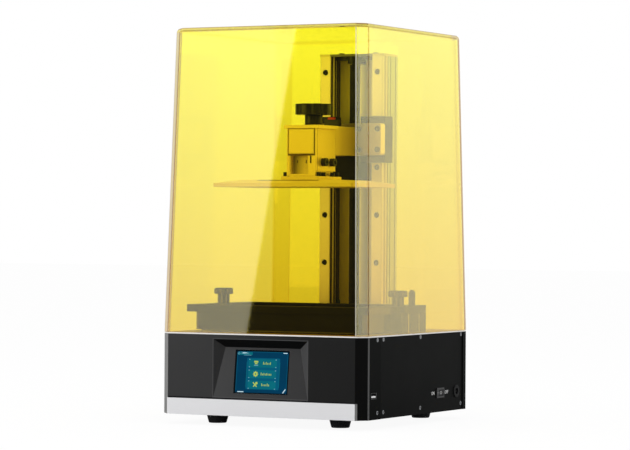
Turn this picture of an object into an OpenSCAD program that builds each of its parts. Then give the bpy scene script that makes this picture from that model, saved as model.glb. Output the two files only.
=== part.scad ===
// Resin printer: a closed base with a mask screen in its deck, a liftable tinted cover,
// a vertical axis on two profile rails, a lifting build platform and a resin vat.
// Millimetres. +Z is up, the screen side faces -Y, and the origin is on the ground at the
// middle of the footprint.

/* [Body] */
// Width over the side walls
body_w = 278; // [262:1:340]
// Depth from the trim strip to the rear panel
body_d = 300; // [290:1:370]
// Height of the base housing without its feet
base_h = 98.5; // [94:0.5:125]
// Height from the ground to the top of the cover
total_h = 480; // [445:1:585]
// Corner cut at the two front corners
front_cut = 12; // [8:0.5:16]
// Corner cut at the two rear corners
rear_cut = 17; // [12:0.5:22]
// Thickness of the housing walls
wall_t = 2.5; // [1.8:0.1:3.2]
// Thickness of the deck sheet
deck_t = 1.5; // [1.2:0.1:2.5]
// Thickness of the floor pan sheet
pan_t = 2; // [1.2:0.1:3]
// Depth by which the side panels lie behind the edges around them
panel_recess = 1.2; // [0.6:0.1:2]
// Length of the front housing's return along each side
fascia_return = 44; // [36:1:60]
// Length of the rear panel's return along each side
rear_return = 25; // [20:1:40]

/* [Feet] */
// Height of one foot
foot_h = 12; // [6:0.5:16]
// Diameter of a foot where it meets the pan
foot_top_d = 28; // [20:1:34]
// Diameter of a foot on the ground
foot_bottom_d = 22; // [14:1:28]
// Distance of the feet from the middle, sideways
foot_x = 84; // [60:1:110]
// Place of the front feet, from the middle to the front
foot_front = 102; // [80:1:125]
// Place of the rear feet, from the middle to the rear
foot_rear = 118; // [80:1:125]

/* [Trim strip and screen] */
// Thickness of the white trim strip
trim_t = 1; // [0.8:0.1:2]
// Height of the trim strip
trim_h = 19.5; // [12:0.5:24]
// Width of the screen recess in the front face
recess_w = 129; // [110:1:150]
// Height of the screen recess in the front face
recess_h = 72.4; // [66:0.1:76]
// Width of the recess floor at its top edge
recess_top_w = 102; // [92:1:108]
// Depth of the recess at the top edge of its floor
recess_depth = 7; // [5:0.5:12]
// Height of the sloping wall above the recess floor
recess_lip = 9.8; // [6:0.1:14]
// Width of the touch glass
glass_w = 73; // [66:0.5:84]
// Height of the touch glass
glass_h = 52; // [46:0.5:54]
// Thickness of the touch glass
glass_t = 1.2; // [0.8:0.1:2]

/* [Cover] */
// Wall thickness of the cover
lid_t = 3; // [2:0.1:5]
// Distance of the cover's foot behind the deck edge
lid_inset = 1.2; // [0.5:0.1:3]
// Lean of each side wall over the full height
lid_lean_side = 8; // [4:0.5:14]
// Lean of the front wall over the full height
lid_lean_front = 11.5; // [4:0.5:16]
// Lean of the rear wall over the full height
lid_lean_rear = 8.5; // [4:0.5:14]
// Radius of the cover's top edges
lid_round = 5; // [4:0.5:8]
// Gap under the cover's foot
lid_gap = 0.3; // [0.1:0.1:0.6]

/* [Exposure screen] */
// Width of the mask screen glass
mask_w = 212; // [200:1:224]
// Depth of the mask screen glass
mask_d = 138; // [128:1:150]
// Thickness of the mask screen
mask_t = 2; // [1.6:0.1:3]
// Place of the screen, vat and platform middle, from the middle to the front
work_front = 39.5; // [36:0.5:46]

/* [Vertical axis] */
// Width of the column
col_w = 90; // [84:1:100]
// Depth of the column
col_d = 26; // [24:0.5:32]
// Height of the column's top over the ground, with its cap
col_top = 457; // [435:1:461]
// Place of the column's front face, from the middle to the rear
col_front = 100; // [96:0.5:104]
// Depth of the open channel in the column
channel_d = 11; // [9:0.5:13]
// Distance of each rail from the middle
rail_x = 36.5; // [35:0.5:38]
// Width of a rail, and its height over the column
rail_w = 15; // [14:0.5:16]
// Distance between rail screws
rail_pitch = 60; // [45:1:70]
// Diameter of the lead screw over its thread
screw_d = 14; // [10:0.5:15]
// Diameter of the lead screw's journals
journal_d = 8; // [6:0.5:9]
// Place of the lead screw in front of the column's face
screw_front = 4; // [3:0.5:6]

/* [Arm] */
// Width of a guide block
block_w = 34; // [32:0.5:36]
// Length of a guide block
block_l = 57.8; // [54:0.2:66]
// Height of a guide block over the column's face
block_h = 28; // [26:0.5:30]
// Spacing of the screws on a guide block
block_pitch = 26; // [24:0.5:27]
// Width of the arm's flange
flange_w = 109; // [106:1:116]
// Height of the arm's flange
flange_h = 40; // [38:0.5:48]
// Thickness of the arm's flange
flange_t = 12; // [8:0.5:14]
// Width of the arm's beam where the bracket slides on
beam_w = 35.4; // [30:0.2:40]
// Height of the arm's beam where the bracket slides on
beam_h = 30.8; // [26:0.2:34]
// Place of the arm's beam end, from the middle to the front
beam_front = 46.4; // [40:0.2:52]

/* [Build platform] */
// Width of the build plate
plate_w = 192; // [180:1:196]
// Depth of the build plate
plate_d = 116; // [104:1:120]
// Thickness of the build plate
plate_t = 8.7; // [7:0.1:12]
// Rise of the slopes around the build plate's top
plate_rise = 4; // [2:0.1:5]
// Height of the build plate's face over the ground, as stored
plate_z = 287; // [265:1:295]
// Sheet thickness of the bracket
bracket_t = 1.8; // [1.5:0.1:3]
// Thickness of the bracket's top plate
bracket_top_t = 4.2; // [3:0.1:6]
// Diameter of the clamp knob
knob_d = 50; // [40:1:56]
// Height of the clamp knob's head
knob_h = 14; // [10:0.5:18]
// Diameter of the clamp knob's neck
knob_neck_d = 24.6; // [18:0.2:30]
// Height of the clamp knob's neck
knob_neck_h = 12.8; // [8:0.2:16]
// Place of the clamp knob, from the middle to the front
knob_front = 15.4; // [10:0.2:24]

/* [Vat] */
// Width over the vat's rim
rim_w = 250; // [246:1:252]
// Depth over the vat's rim
rim_d = 158; // [152:1:164]
// Thickness of the vat's rim
rim_t = 8.8; // [6:0.2:10]
// Overhang of the rim over the body at each side
rim_over = 9.5; // [8:0.5:11]
// Height of the vat's body with its rim
vat_h = 30.2; // [26:0.2:36]
// Room between the build plate and the vat's walls, sideways
vat_room = 8; // [6:0.5:10]
// Place of the vat's middle, from the middle to the front
vat_front = 31; // [30:0.5:33]
// Diameter of a vat thumbscrew
thumb_d = 23.6; // [18:0.2:24]
// Height of a vat thumbscrew's head
thumb_h = 7.6; // [5:0.2:10]
// Diameter of a vat thumbscrew's neck
thumb_neck_d = 15; // [10:0.5:17]
// Height of a vat thumbscrew's neck
thumb_neck_h = 11; // [8:0.5:16]
// Distance of the vat thumbscrews from the middle
thumb_x = 121; // [120:0.5:122]
// Place of the vat thumbscrews, from the middle to the front
thumb_front = 24; // [18:0.5:28]

/* [Fits] */
// Gap between parts that are put together by hand
fit = 0.3; // [0.2:0.05:0.5]
// Gap between housing panels at a seam
seam = 0.3; // [0.1:0.05:0.6]
// Radial clearance of a shaft in its bearing
run = 0.05; // [0.02:0.01:0.08]

/* [Hidden] */
$fn = 48;

// Heights and half sizes of the housing
hw = body_w / 2;
hd = body_d / 2;
front_y = -hd + trim_t;
deck_z = foot_h + base_h;
pan_in = wall_t + panel_recess + fit;
fascia_y = front_y + fascia_return;
rear_y = hd - rear_return;
skirt_h = 12;
work_y = -work_front;
floor_top = foot_h + pan_t;

// Vertical axis
screw_y = col_front - screw_front;
ch_hw = rail_x - rail_w / 2 - 0.5;
cap_t = 3;
col_end = col_top - cap_t;
rail_z0 = deck_z + 6;
rail_y = col_front - rail_w;
block_y = col_front - block_h;
flange_y = block_y - flange_t;
flange_z = plate_z + 61.6;
nut_hw = 18;
nut_z0 = plate_z + 10.5;
bear_d = 22;
bear_t = 7;
motor_w = 42.3;
motor_top = deck_z - 39.5;
motor_l = 40;
coupler_l = 25;

// Build platform
plate_top = plate_z + plate_t;
base_flange_t = 4.8;
block_z0 = plate_top + base_flange_t;
beam_z1 = flange_z + 10;
beam_z0 = beam_z1 - beam_h;
bracket_hw = beam_w / 2 + fit + bracket_t;
bracket_z1 = beam_z1 + fit + bracket_top_t;
bracket_front = beam_front + 1.4;
beam_step = 5;
block_hw = beam_w / 2 - 0.1;
lev_z = block_z0 + 17.5;
lev_y = [-29, -7];
plate_bolt_y = [-45, -33, -9, 3];
plate_bolt_x = bracket_hw + 3.1;
plate_bolts = [for (s = [-1, 1], y = plate_bolt_y) [s * plate_bolt_x, y]];

// Vat
film_z = deck_z - deck_t + mask_t + 0.35;
frame_t = 1.7;
film_t = 0.25;
vat_z0 = film_z + film_t + frame_t;
rim_z1 = vat_z0 + vat_h;
rim_z0 = rim_z1 - rim_t;
vat_y = -vat_front;
bay_w = plate_w + 2 * vat_room;
bay_y0 = work_y - plate_d / 2 - 6.5;
bay_y1 = work_y + plate_d / 2 + 15.5;
window_w = bay_w - 8;
window_d = plate_d + 8;

// Outline of the housing, seen from above, moved inwards by i
function outline(i) = let(
    x = hw - i, y0 = front_y + i, y1 = hd - i,
    cf = front_cut - i * (2 - sqrt(2)), cr = rear_cut - i * (2 - sqrt(2)))
    [[-x + cf, y0], [x - cf, y0], [x, y0 + cf], [x, y1 - cr],
     [x - cr, y1], [-x + cr, y1], [-x, y1 - cr], [-x, y0 + cf]];

// Whole outline from its right half
function both(half) = concat(half, [for (i = [len(half) - 1:-1:0]) [-half[i][0], half[i][1]]]);

module slab(i, z0, h) translate([0, 0, z0]) linear_extrude(h) polygon(outline(i));

module band(i, t, z0, h) difference() {
    slab(i, z0, h);
    slab(i + t, z0 - 1, h + 2);
}

// Box between two corners
module box(a, b) translate(a) cube(b - a);

// Rectangle with round corners, centred
module rrect(w, d, r) {
    square([w - 2 * r, d], center = true);
    square([w, d - 2 * r], center = true);
    for (sx = [-1, 1], sy = [-1, 1]) translate([sx * (w / 2 - r), sy * (d / 2 - r)]) circle(r);
}

module plate(w, d, r, z0, h, x = 0, y = 0)
    translate([x, y, z0]) linear_extrude(h) rrect(w, d, r);

module rod(r, z0, z1, x = 0, y = 0) translate([x, y, z0]) cylinder(r = r, h = z1 - z0);

// Convex solid around a list of points
module convex(points) hull() polyhedron(points, [[for (i = [0:len(points) - 1]) i]]);

// Socket head screw: head above z = 0, shank below
module cap_screw(head_r, head_h, shank_r, shank_l) {
    difference() {
        cylinder(r = head_r, h = head_h);
        translate([0, 0, head_h * 0.45]) cylinder(r = head_r * 0.55, h = head_h, $fn = 6);
    }
    translate([0, 0, -shank_l]) cylinder(r = shank_r, h = shank_l);
}

module mirror_x() {
    children();
    mirror([1, 0, 0]) children();
}

// ---------------------------------------------------------------- feet and floor pan

foot_places = [[foot_x, -foot_front], [-foot_x, -foot_front], [foot_x, foot_rear], [-foot_x, foot_rear]];
foot_bore = 5.5;
foot_screw_r = 2;

module feet() color([0.06, 0.06, 0.07])
    for (p = foot_places) translate([p[0], p[1], 0]) difference() {
        union() {
            cylinder(d1 = foot_bottom_d - 1.6, d2 = foot_bottom_d, h = 0.8);
            translate([0, 0, 0.8]) cylinder(d1 = foot_bottom_d, d2 = foot_top_d, h = foot_h - 0.8);
        }
        translate([0, 0, -1]) cylinder(r = foot_bore, h = foot_h - 1.5);
        translate([0, 0, -1]) cylinder(r = foot_screw_r + 0.2, h = foot_h + 2);
    }

module foot_screws() color([0.75, 0.75, 0.77])
    for (p = foot_places) translate([p[0], p[1], foot_h - 2.5]) mirror([0, 0, 1])
        cap_screw(3.8, 2.2, foot_screw_r, 2.5 + pan_t + 2);

vent_rows = 7;
vent_pitch = 10;

module base_pan() color([0.35, 0.36, 0.38]) difference() {
    union() {
        slab(pan_in, foot_h, pan_t);
        band(pan_in, pan_t, floor_top, skirt_h);
        for (p = standoffs) rod(3, floor_top, board_z, p[0], p[1]);
    }
    for (p = foot_places) rod(foot_screw_r + 0.2, 0, floor_top + 1, p[0], p[1]);
    for (p = standoffs) rod(1.45, floor_top + 1, board_z + 1, p[0], p[1]);
    for (i = [0:vent_rows - 1])
        translate([0, work_y + (i - (vent_rows - 1) / 2) * vent_pitch, foot_h - 1])
            linear_extrude(pan_t + 2) rrect(64, 4, 1.9);
    side_screw_holes(1.4);
}

// ---------------------------------------------------------------- housing walls

panel_screw_y = [fascia_y - 9, fascia_y + 9, 5, rear_y - 4];
panel_screw_z = [foot_h + 7.8, deck_z - 4.6];
screw_head_r = 2.4;
screw_head_h = 1.2;

module side_screw_places()
    for (y = panel_screw_y, z = panel_screw_z) translate([0, y, z]) children();

module side_screw_holes(r) mirror_x() side_screw_places()
    translate([hw - 14, 0, 0]) rotate([0, 90, 0]) cylinder(r = r, h = 20);

// Seats for the flush heads, on the fascia returns and the recessed side panels
module head_seats() mirror_x() side_screw_places() rotate([0, 90, 0]) {
    translate([0, 0, hw - screw_head_h]) cylinder(r = screw_head_r + 0.1, h = 5);
}

module housing_screws() color([0.55, 0.56, 0.58]) {
    mirror_x() for (y = panel_screw_y, z = panel_screw_z) {
        face = hw - (y < fascia_y ? 0 : panel_recess);
        translate([face - screw_head_h, y, z]) rotate([0, 90, 0])
            cap_screw(screw_head_r, screw_head_h, 1.2, wall_t + 3);
    }
    for (sx = [-1, 1], sz = [-1, 1])
        translate([fan_x + sx * fan_hole(fan_w), hd - screw_head_h, fan_z + sz * fan_hole(fan_w)]) rotate([-90, 0, 0])
            cap_screw(screw_head_r, screw_head_h, 1.5, wall_t + fan_l);
    for (sx = [-1, 1], sy = [-1, 1])
        translate([sx * fan_hole(light_fan_w), work_y + sy * fan_hole(light_fan_w), light_fan_z]) mirror([0, 0, 1])
            cap_screw(2.75, 2.4, 1.5, fan_l + 4);
    for (p = standoffs) translate([p[0], p[1], board_z + board_t]) cap_screw(2.75, 2.2, 1.4, 6);
    for (p = bracket_bolts, s = [-1, 1]) translate([s * p[0], p[1], deck_z - deck_t]) mirror([0, 0, 1])
        cap_screw(2.75, 2.4, 1.5, deck_t + 8);
    on_slope() for (p = display_screw_places) translate([p[0], wall_t + 6, p[1]]) rotate([-90, 0, 0])
        cap_screw(1.9, 1.3, 0.9, 5);
}

slope_a = atan(recess_depth / (recess_h - recess_lip));
recess_z0 = foot_h + trim_h;

// Shell of the screen recess, grown by g on its hidden sides
module recess_shell(g) convex([
    for (x = [-1, 1]) each [
        [x * (recess_w / 2 + g), front_y, recess_z0 - g],
        [x * (recess_w / 2 + g), front_y, recess_z0 + recess_h + g],
        [x * (recess_w / 2 + g), front_y + g, recess_z0 - g],
        [x * (recess_top_w / 2 + g), front_y + recess_depth + g, recess_z0 + recess_h - recess_lip + g]
    ]
]);

// The recess itself, its faces run on a little in front of the housing
module recess_cut() {
    slant_x = (recess_w - recess_top_w) / 2 / recess_depth;
    slant_up = recess_lip / recess_depth;
    slant_down = (recess_h - recess_lip) / recess_depth;
    convex([for (x = [-1, 1]) each [
        [x * (recess_w / 2 + slant_x), front_y - 1, recess_z0 - slant_down],
        [x * (recess_w / 2 + slant_x), front_y - 1, recess_z0 + recess_h + slant_up],
        [x * recess_top_w / 2, front_y + recess_depth, recess_z0 + recess_h - recess_lip]
    ]]);
}

// Places its children on the sloping floor of the recess, Z up the slope
module on_slope() translate([0, front_y, recess_z0]) rotate([-slope_a, 0, 0]) children();

glass_z = 8;
module_h = glass_h + 5;
module_w = glass_w + 6;
display_screw_places = [for (x = [-1, 1], z = [glass_z - 0.5, glass_z + module_h - 5.5]) [x * (module_w / 2 + 3), z]];

module front_fascia() color([0.15, 0.155, 0.16]) difference() {
    union() {
        intersection() {
            band(0, wall_t, foot_h, base_h - deck_t);
            box([-hw - 1, front_y - 1, 0], [hw + 1, fascia_y, deck_z]);
        }
        recess_shell(wall_t);
        on_slope() for (p = display_screw_places) translate([p[0], wall_t - 0.5, p[1]]) rotate([-90, 0, 0])
            cylinder(r = 2.2, h = 4.7);
    }
    recess_cut();
    on_slope() for (p = display_screw_places) translate([p[0], 1.2, p[1]]) rotate([-90, 0, 0])
        cylinder(r = 0.9, h = 20);
    on_slope() box([-glass_w / 2 - 0.2, -1, glass_z - 0.2], [glass_w / 2 + 0.2, wall_t * 2, glass_z + glass_h + 0.2]);
    translate([hw, usb_y, usb_z]) cube([20, usb_w + 2 * fit, usb_h + 2 * fit], center = true);
    side_screw_holes(1.4);
    head_seats();
}

// Strip with a short return along the cut corner at each end
strip_return = 2.2;
strip_half = let(a = hw - front_cut + (sqrt(2) - 1) * trim_t, k = trim_t / sqrt(2)) [[a, -hd],
    [a + strip_return, -hd + strip_return], [a + strip_return - k, -hd + strip_return + k],
    [hw - front_cut, front_y]];

module trim_strip() color([0.92, 0.92, 0.93]) translate([0, 0, foot_h]) linear_extrude(trim_h)
    polygon(both(strip_half));

module side_panel() difference() {
    box([hw - panel_recess - wall_t, fascia_y + seam, foot_h], [hw - panel_recess, rear_y - seam, deck_z - deck_t]);
    side_screw_holes(1.4);
    translate([-panel_recess, 0, 0]) head_seats();
}

module side_panel_left() color([0.1, 0.1, 0.105]) mirror([1, 0, 0]) side_panel();

module side_panel_right() color([0.1, 0.1, 0.105]) difference() {
    side_panel();
    translate([hw, switch_y, port_z]) cube([30, switch_w - 1.6, switch_h - 1.6], center = true);
    translate([hw - 15, jack_y, port_z]) rotate([0, 90, 0]) cylinder(r = jack_r + 0.2, h = 30);
}

fan_x = -72;
fan_w = 60;
fan_l = 15;
function fan_hole(w) = w / 2 - 4.6;
fan_z = foot_h + 50;
grille_n = 6;

module grille_slots()
    for (i = [0:grille_n - 1]) {
        dz = (i - (grille_n - 1) / 2) * 8;
        w = 2 * sqrt(pow(fan_w / 2 - 3, 2) - pow(abs(dz) + 2, 2));
        translate([0, dz]) rrect(w, 4, 1.9);
    }

module rear_panel() color([0.1, 0.1, 0.105]) difference() {
    intersection() {
        band(0, wall_t, foot_h, base_h - deck_t);
        box([-hw - 1, rear_y, 0], [hw + 1, hd + 1, deck_z]);
    }
    translate([fan_x, hd + 1, fan_z]) rotate([90, 0, 0]) linear_extrude(wall_t + 3) grille_slots();
    translate([-fan_x, hd + 1, fan_z]) rotate([90, 0, 0]) linear_extrude(wall_t + 3) grille_slots();
    for (sx = [-1, 1], sz = [-1, 1])
        translate([fan_x + sx * fan_hole(fan_w), hd, fan_z + sz * fan_hole(fan_w)]) rotate([90, 0, 0]) {
            translate([0, 0, -1]) cylinder(r = screw_head_r + 0.1, h = screw_head_h + 1);
            cylinder(r = 1.7, h = 10);
        }
}

// ---------------------------------------------------------------- deck

column_bolts = [[-rail_x, col_front + 6], [rail_x, col_front + 6],
                [-rail_x, col_front + 20], [rail_x, col_front + 20]];
bracket_bolts = [[thumb_x - 0.5, 4], [thumb_x - 0.5, 34]];

module deck_plate() color([0.88, 0.88, 0.89]) difference() {
    union() {
        slab(0, deck_z - deck_t, deck_t);
        band(pan_in, 1.5, deck_z - deck_t - skirt_h, skirt_h);
    }
    plate(mask_w + 0.6, mask_d + 0.6, 1.5, deck_z - 5, 10, 0, work_y);
    recess_shell(wall_t + fit);
    rod(bear_d / 2 + 3.2, deck_z - 5, deck_z + 5, 0, screw_y);
    for (p = column_bolts) rod(2.7, deck_z - 5, deck_z + 5, p[0], p[1]);
    for (p = bracket_bolts, s = [-1, 1]) rod(1.7, deck_z - 5, deck_z + 5, s * p[0], p[1]);
    side_screw_holes(1.4);
}

// ---------------------------------------------------------------- screen on the front

module touch_glass() color([0.03, 0.05, 0.06]) on_slope()
    box([-glass_w / 2, 0, glass_z], [glass_w / 2, glass_t, glass_z + glass_h]);

module display_module() color([0.5, 0.5, 0.52]) on_slope() {
    box([-glass_w / 2 + 0.6, glass_t, glass_z + 0.6],
        [glass_w / 2 - 0.6, wall_t + 0.4, glass_z + glass_h - 0.6]);
    box([-module_w / 2, wall_t + 0.4, glass_z - 2.5], [module_w / 2, wall_t + 4.4, glass_z - 2.5 + module_h]);
}

module display_board() color([0.05, 0.3, 0.15]) on_slope() difference() {
    union() {
        box([-module_w / 2 - 6, wall_t + 4.4, glass_z - 3.5], [module_w / 2 + 6, wall_t + 6, glass_z - 1.5 + module_h]);
        box([-24, wall_t + 6, glass_z + 6], [24, wall_t + 9, glass_z + 11]);
        box([-10, wall_t + 6, glass_z + 22], [8, wall_t + 7.4, glass_z + 40]);
    }
    for (p = display_screw_places) translate([p[0], 0, p[1]]) rotate([-90, 0, 0]) cylinder(r = 1.1, h = 30);
}

// ---------------------------------------------------------------- ports on the right side

port_z = foot_h + 23.5;
usb_y = front_y + 25.5;
usb_z = foot_h + 28;
usb_w = 14.4;
usb_h = 7.4;
usb_l = 16;
switch_y = 60.3;
switch_w = 21;
switch_h = 12.4;
switch_l = 14;
rocker_a = 7;
jack_y = 107;
jack_r = 6.2;
jack_l = 14;

module usb_socket() color([0.7, 0.71, 0.73]) translate([hw - usb_l, usb_y, usb_z]) {
    difference() {
        translate([0, -usb_w / 2, -usb_h / 2]) cube([usb_l, usb_w, usb_h]);
        translate([2, -usb_w / 2 + 0.6, -usb_h / 2 + 0.6]) cube([usb_l, usb_w - 1.2, usb_h - 1.2]);
    }
    translate([2, -usb_w / 2 + 1.6, usb_h / 2 - 1.8]) cube([usb_l - 6, usb_w - 3.2, 1.2]);
    translate([-12, -usb_w / 2 - 3, -usb_h / 2 - 1.6]) cube([usb_l + 8, usb_w + 6, 1.6]);
}

module power_switch() color([0.05, 0.05, 0.055]) translate([hw, switch_y, port_z]) difference() {
    union() {
        translate([-panel_recess, -switch_w / 2, -switch_h / 2]) cube([panel_recess, switch_w, switch_h]);
        translate([-switch_l, -switch_w / 2 + 1, -switch_h / 2 + 1]) cube([switch_l, switch_w - 2, switch_h - 2]);
        for (y = [-6, 0, 6]) translate([-switch_l - 7, y - 2.2, -0.4]) cube([8, 4.4, 0.8]);
    }
    translate([-9, -switch_w / 2 + 2.4, -switch_h / 2 + 2.4]) cube([10, switch_w - 4.8, switch_h - 4.8]);
}

// Rocker seen from above: two faces that meet in a shallow V, on a round pivot bar
module power_rocker() color([0.09, 0.09, 0.1]) translate([hw - 4.2, switch_y, port_z])
    rotate([0, 0, -rocker_a]) translate([0, 0, -switch_h / 2 + 2.7]) linear_extrude(switch_h - 5.4) {
        l = switch_w / 2 - 3.1;
        s = l * tan(rocker_a);
        polygon([[3.1 - s, 0], [3.1, l], [2.2, l], [-1.6, 2.4], [-1.6, -2.4], [2.2, -l], [3.1, -l]]);
        circle(r = 2.2);
    }

module power_jack() color([0.12, 0.12, 0.13]) translate([hw, jack_y, port_z]) rotate([0, -90, 0]) {
    difference() {
        union() {
            cylinder(r = jack_r + 1.4, h = panel_recess);
            cylinder(r = jack_r, h = jack_l);
        }
        difference() {
            translate([0, 0, -1]) cylinder(r = 4, h = 11);
            translate([0, 0, 1.2]) cylinder(r = 1.2, h = 12);
        }
    }
    translate([0, 0, panel_recess + wall_t + 0.1]) difference() {
        cylinder(r = jack_r + 2.4, h = 2.4, $fn = 6);
        translate([0, 0, -1]) cylinder(r = jack_r + 0.05, h = 5);
    }
}

// ---------------------------------------------------------------- electronics

board_x = [-128, -72];
board_y = [-96, 54];
board_z = floor_top + 6;
board_t = 1.6;
standoffs = [for (x = [board_x[0] + 4, board_x[1] - 4], y = [board_y[0] + 4, board_y[1] - 4]) [x, y]];

module main_board() color([0.04, 0.25, 0.14]) difference() {
    box([board_x[0], board_y[0], board_z], [board_x[1], board_y[1], board_z + board_t]);
    for (p = standoffs) rod(1.5, board_z - 1, board_z + 3, p[0], p[1]);
}

module board_parts() color([0.12, 0.12, 0.13]) translate([board_x[0], board_y[0], board_z + board_t]) {
    // Processor and memory
    translate([14, 60, 0]) cube([20, 20, 1.6]);
    translate([16, 92, 0]) cube([12, 14, 1.2]);
    // Plug sockets along one edge
    for (i = [0:3]) translate([6, 12 + i * 10, 0]) cube([9, 7.5, 7]);
    // Capacitors
    for (i = [0:2]) translate([46, 26 + i * 17, 0]) cylinder(r = 4.2, h = 12);
    // Finned cooler of the motor driver
    for (i = [0:5]) translate([22 + i * 4, 118, 0]) cube([1.4, 16, 10]);
    translate([22, 118, 0]) cube([21.4, 16, 2]);
    // Flat cable socket
    translate([22, 138, 0]) cube([26, 7, 9]);
}

// ---------------------------------------------------------------- light engine

light_z0 = deck_z - deck_t - 59;
ledge_z = deck_z - deck_t - 16;
lens_w = mask_w - 10;
lens_d = mask_d - 10;
led_w = 118;
led_d = 78;
shell_t = 2;

module frustum(w0, d0, z0, w1, d1, z1) convex([
    for (s = [-1, 1], t = [-1, 1]) each [[s * w0 / 2, t * d0 / 2, z0], [s * w1 / 2, t * d1 / 2, z1]]
]);

module light_housing() color([0.12, 0.12, 0.13]) translate([0, work_y, 0]) difference() {
    union() {
        frustum(led_w, led_d, light_z0, lens_w + 2 * shell_t, lens_d + 2 * shell_t, ledge_z);
        plate(lens_w + 2 * shell_t, lens_d + 2 * shell_t, 3, ledge_z, deck_z - deck_t - ledge_z);
        plate(mask_w + 12, mask_d + 12, 4, deck_z - deck_t - 3, 3);
        plate(led_w + 8, led_d + 8, 3, light_z0, 3);
    }
    frustum(led_w - 6, led_d - 6, light_z0 - 0.1, lens_w - 8, lens_d - 8, ledge_z + 0.1);
    plate(lens_w, lens_d, 2, ledge_z, 30);
}

module lens_panel() color([0.85, 0.9, 0.95]) plate(lens_w - 0.6, lens_d - 0.6, 2, ledge_z, 2.5, 0, work_y);

module led_board() color([0.9, 0.9, 0.88]) translate([0, work_y, 0]) {
    plate(led_w + 6, led_d + 6, 3, light_z0 - 1.8, 1.6);
    for (i = [-3:3], j = [-2:2]) rod(1.9, light_z0 - 0.2, light_z0 + 1.2, i * 15, j * 13);
}

sink_w = 110;
sink_d = 76;
sink_z1 = light_z0 - 1.8;
fin_h = 10;
fins = 14;

module heat_sink() color([0.75, 0.76, 0.78]) translate([0, work_y, 0]) difference() {
    union() {
        box([-sink_w / 2, -sink_d / 2, sink_z1 - 4], [sink_w / 2, sink_d / 2, sink_z1]);
        for (i = [0:fins - 1]) {
            x = -sink_w / 2 + i * (sink_w - 1.8) / (fins - 1);
            box([x, -sink_d / 2, sink_z1 - 4 - fin_h], [x + 1.8, sink_d / 2, sink_z1 - 4]);
        }
        for (sx = [-1, 1], sy = [-1, 1])
            rod(2.6, sink_z1 - 4 - fin_h, sink_z1 - 4, sx * fan_hole(light_fan_w), sy * fan_hole(light_fan_w));
    }
    for (sx = [-1, 1], sy = [-1, 1])
        rod(1.6, sink_z1 - 5 - fin_h, sink_z1 - 6, sx * fan_hole(light_fan_w), sy * fan_hole(light_fan_w));
}

// Square fan frame, open along Z, with a hub carried on four struts at its far side
module fan_frame(w, l) difference() {
    union() {
        difference() {
            linear_extrude(l) rrect(w, w, 4);
            translate([0, 0, -1]) cylinder(r = w / 2 - 1.6, h = l + 2);
        }
        cylinder(r = w * 0.2, h = 2);
        box([-w / 2 + 0.8, -1.6, 0], [w / 2 - 0.8, 1.6, 2]);
        box([-1.6, -w / 2 + 0.8, 0], [1.6, w / 2 - 0.8, 2]);
        cylinder(r = 4, h = l * 0.55);
    }
    translate([0, 0, -1]) cylinder(r = 1.5 + run, h = l);
    for (sx = [-1, 1], sy = [-1, 1]) translate([sx * fan_hole(w), sy * fan_hole(w), -1])
        cylinder(r = 1.8, h = l + 2);
}

// Hub cup with a steel shaft and seven pitched blades
module fan_rotor(w, l) {
    difference() {
        translate([0, 0, 3]) cylinder(r = w * 0.2, h = l - 3.6);
        translate([0, 0, 2]) cylinder(r = w * 0.2 - 1.4, h = l - 4);
    }
    translate([0, 0, 0.6]) cylinder(r = 1.5, h = l - 2);
    intersection() {
        difference() {
            translate([0, 0, 3]) cylinder(r = w / 2 - 2.6, h = l - 4);
            translate([0, 0, 2]) cylinder(r = w * 0.2 - 0.7, h = l);
        }
        for (a = [0:6]) rotate([0, 0, a * 360 / 7]) translate([w * 0.18, 0, l / 2])
            rotate([38, 0, 0]) translate([0, -0.7, -l]) cube([w * 0.35, 1.4, 2 * l]);
    }
}

light_fan_w = 80;
light_fan_z = sink_z1 - 4 - fin_h - fan_l;

module light_fan_frame() color([0.08, 0.08, 0.09]) translate([0, work_y, light_fan_z]) fan_frame(light_fan_w, fan_l);
module light_fan_rotor() color([0.1, 0.1, 0.11]) translate([0, work_y, light_fan_z]) fan_rotor(light_fan_w, fan_l);

module exhaust_place() translate([fan_x, hd - wall_t - fan_l, fan_z]) rotate([-90, 0, 0]) children();
module exhaust_fan_frame() color([0.08, 0.08, 0.09]) exhaust_place() fan_frame(fan_w, fan_l);
module exhaust_fan_rotor() color([0.1, 0.1, 0.11]) exhaust_place() fan_rotor(fan_w, fan_l);

module mask_screen() color([0.03, 0.03, 0.04]) plate(mask_w, mask_d, 1.2, deck_z - deck_t, mask_t, 0, work_y);

// ---------------------------------------------------------------- vertical drive

motor_hole = 15.5;

module z_motor() color([0.13, 0.13, 0.14]) translate([0, screw_y, 0]) difference() {
    union() {
        for (z = [0, motor_l - 9]) translate([0, 0, motor_top - motor_l + z]) linear_extrude(9)
            rrect(motor_w, motor_w, 3.5);
        translate([0, 0, motor_top - motor_l + 9]) linear_extrude(motor_l - 18) rrect(motor_w - 1.6, motor_w - 1.6, 7);
        rod(11, motor_top, motor_top + 2);
    }
    rod(2.5 + run, motor_top - 16, motor_top + 5);
    for (sx = [-1, 1], sy = [-1, 1]) rod(1.5, motor_top - 5, motor_top + 1, sx * motor_hole, sy * motor_hole);
}

module motor_shaft() color([0.7, 0.7, 0.72])
    rod(2.5, motor_top - 15.5, motor_top + 4 + coupler_l / 2, 0, screw_y);

bracket_x = 29;

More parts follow.
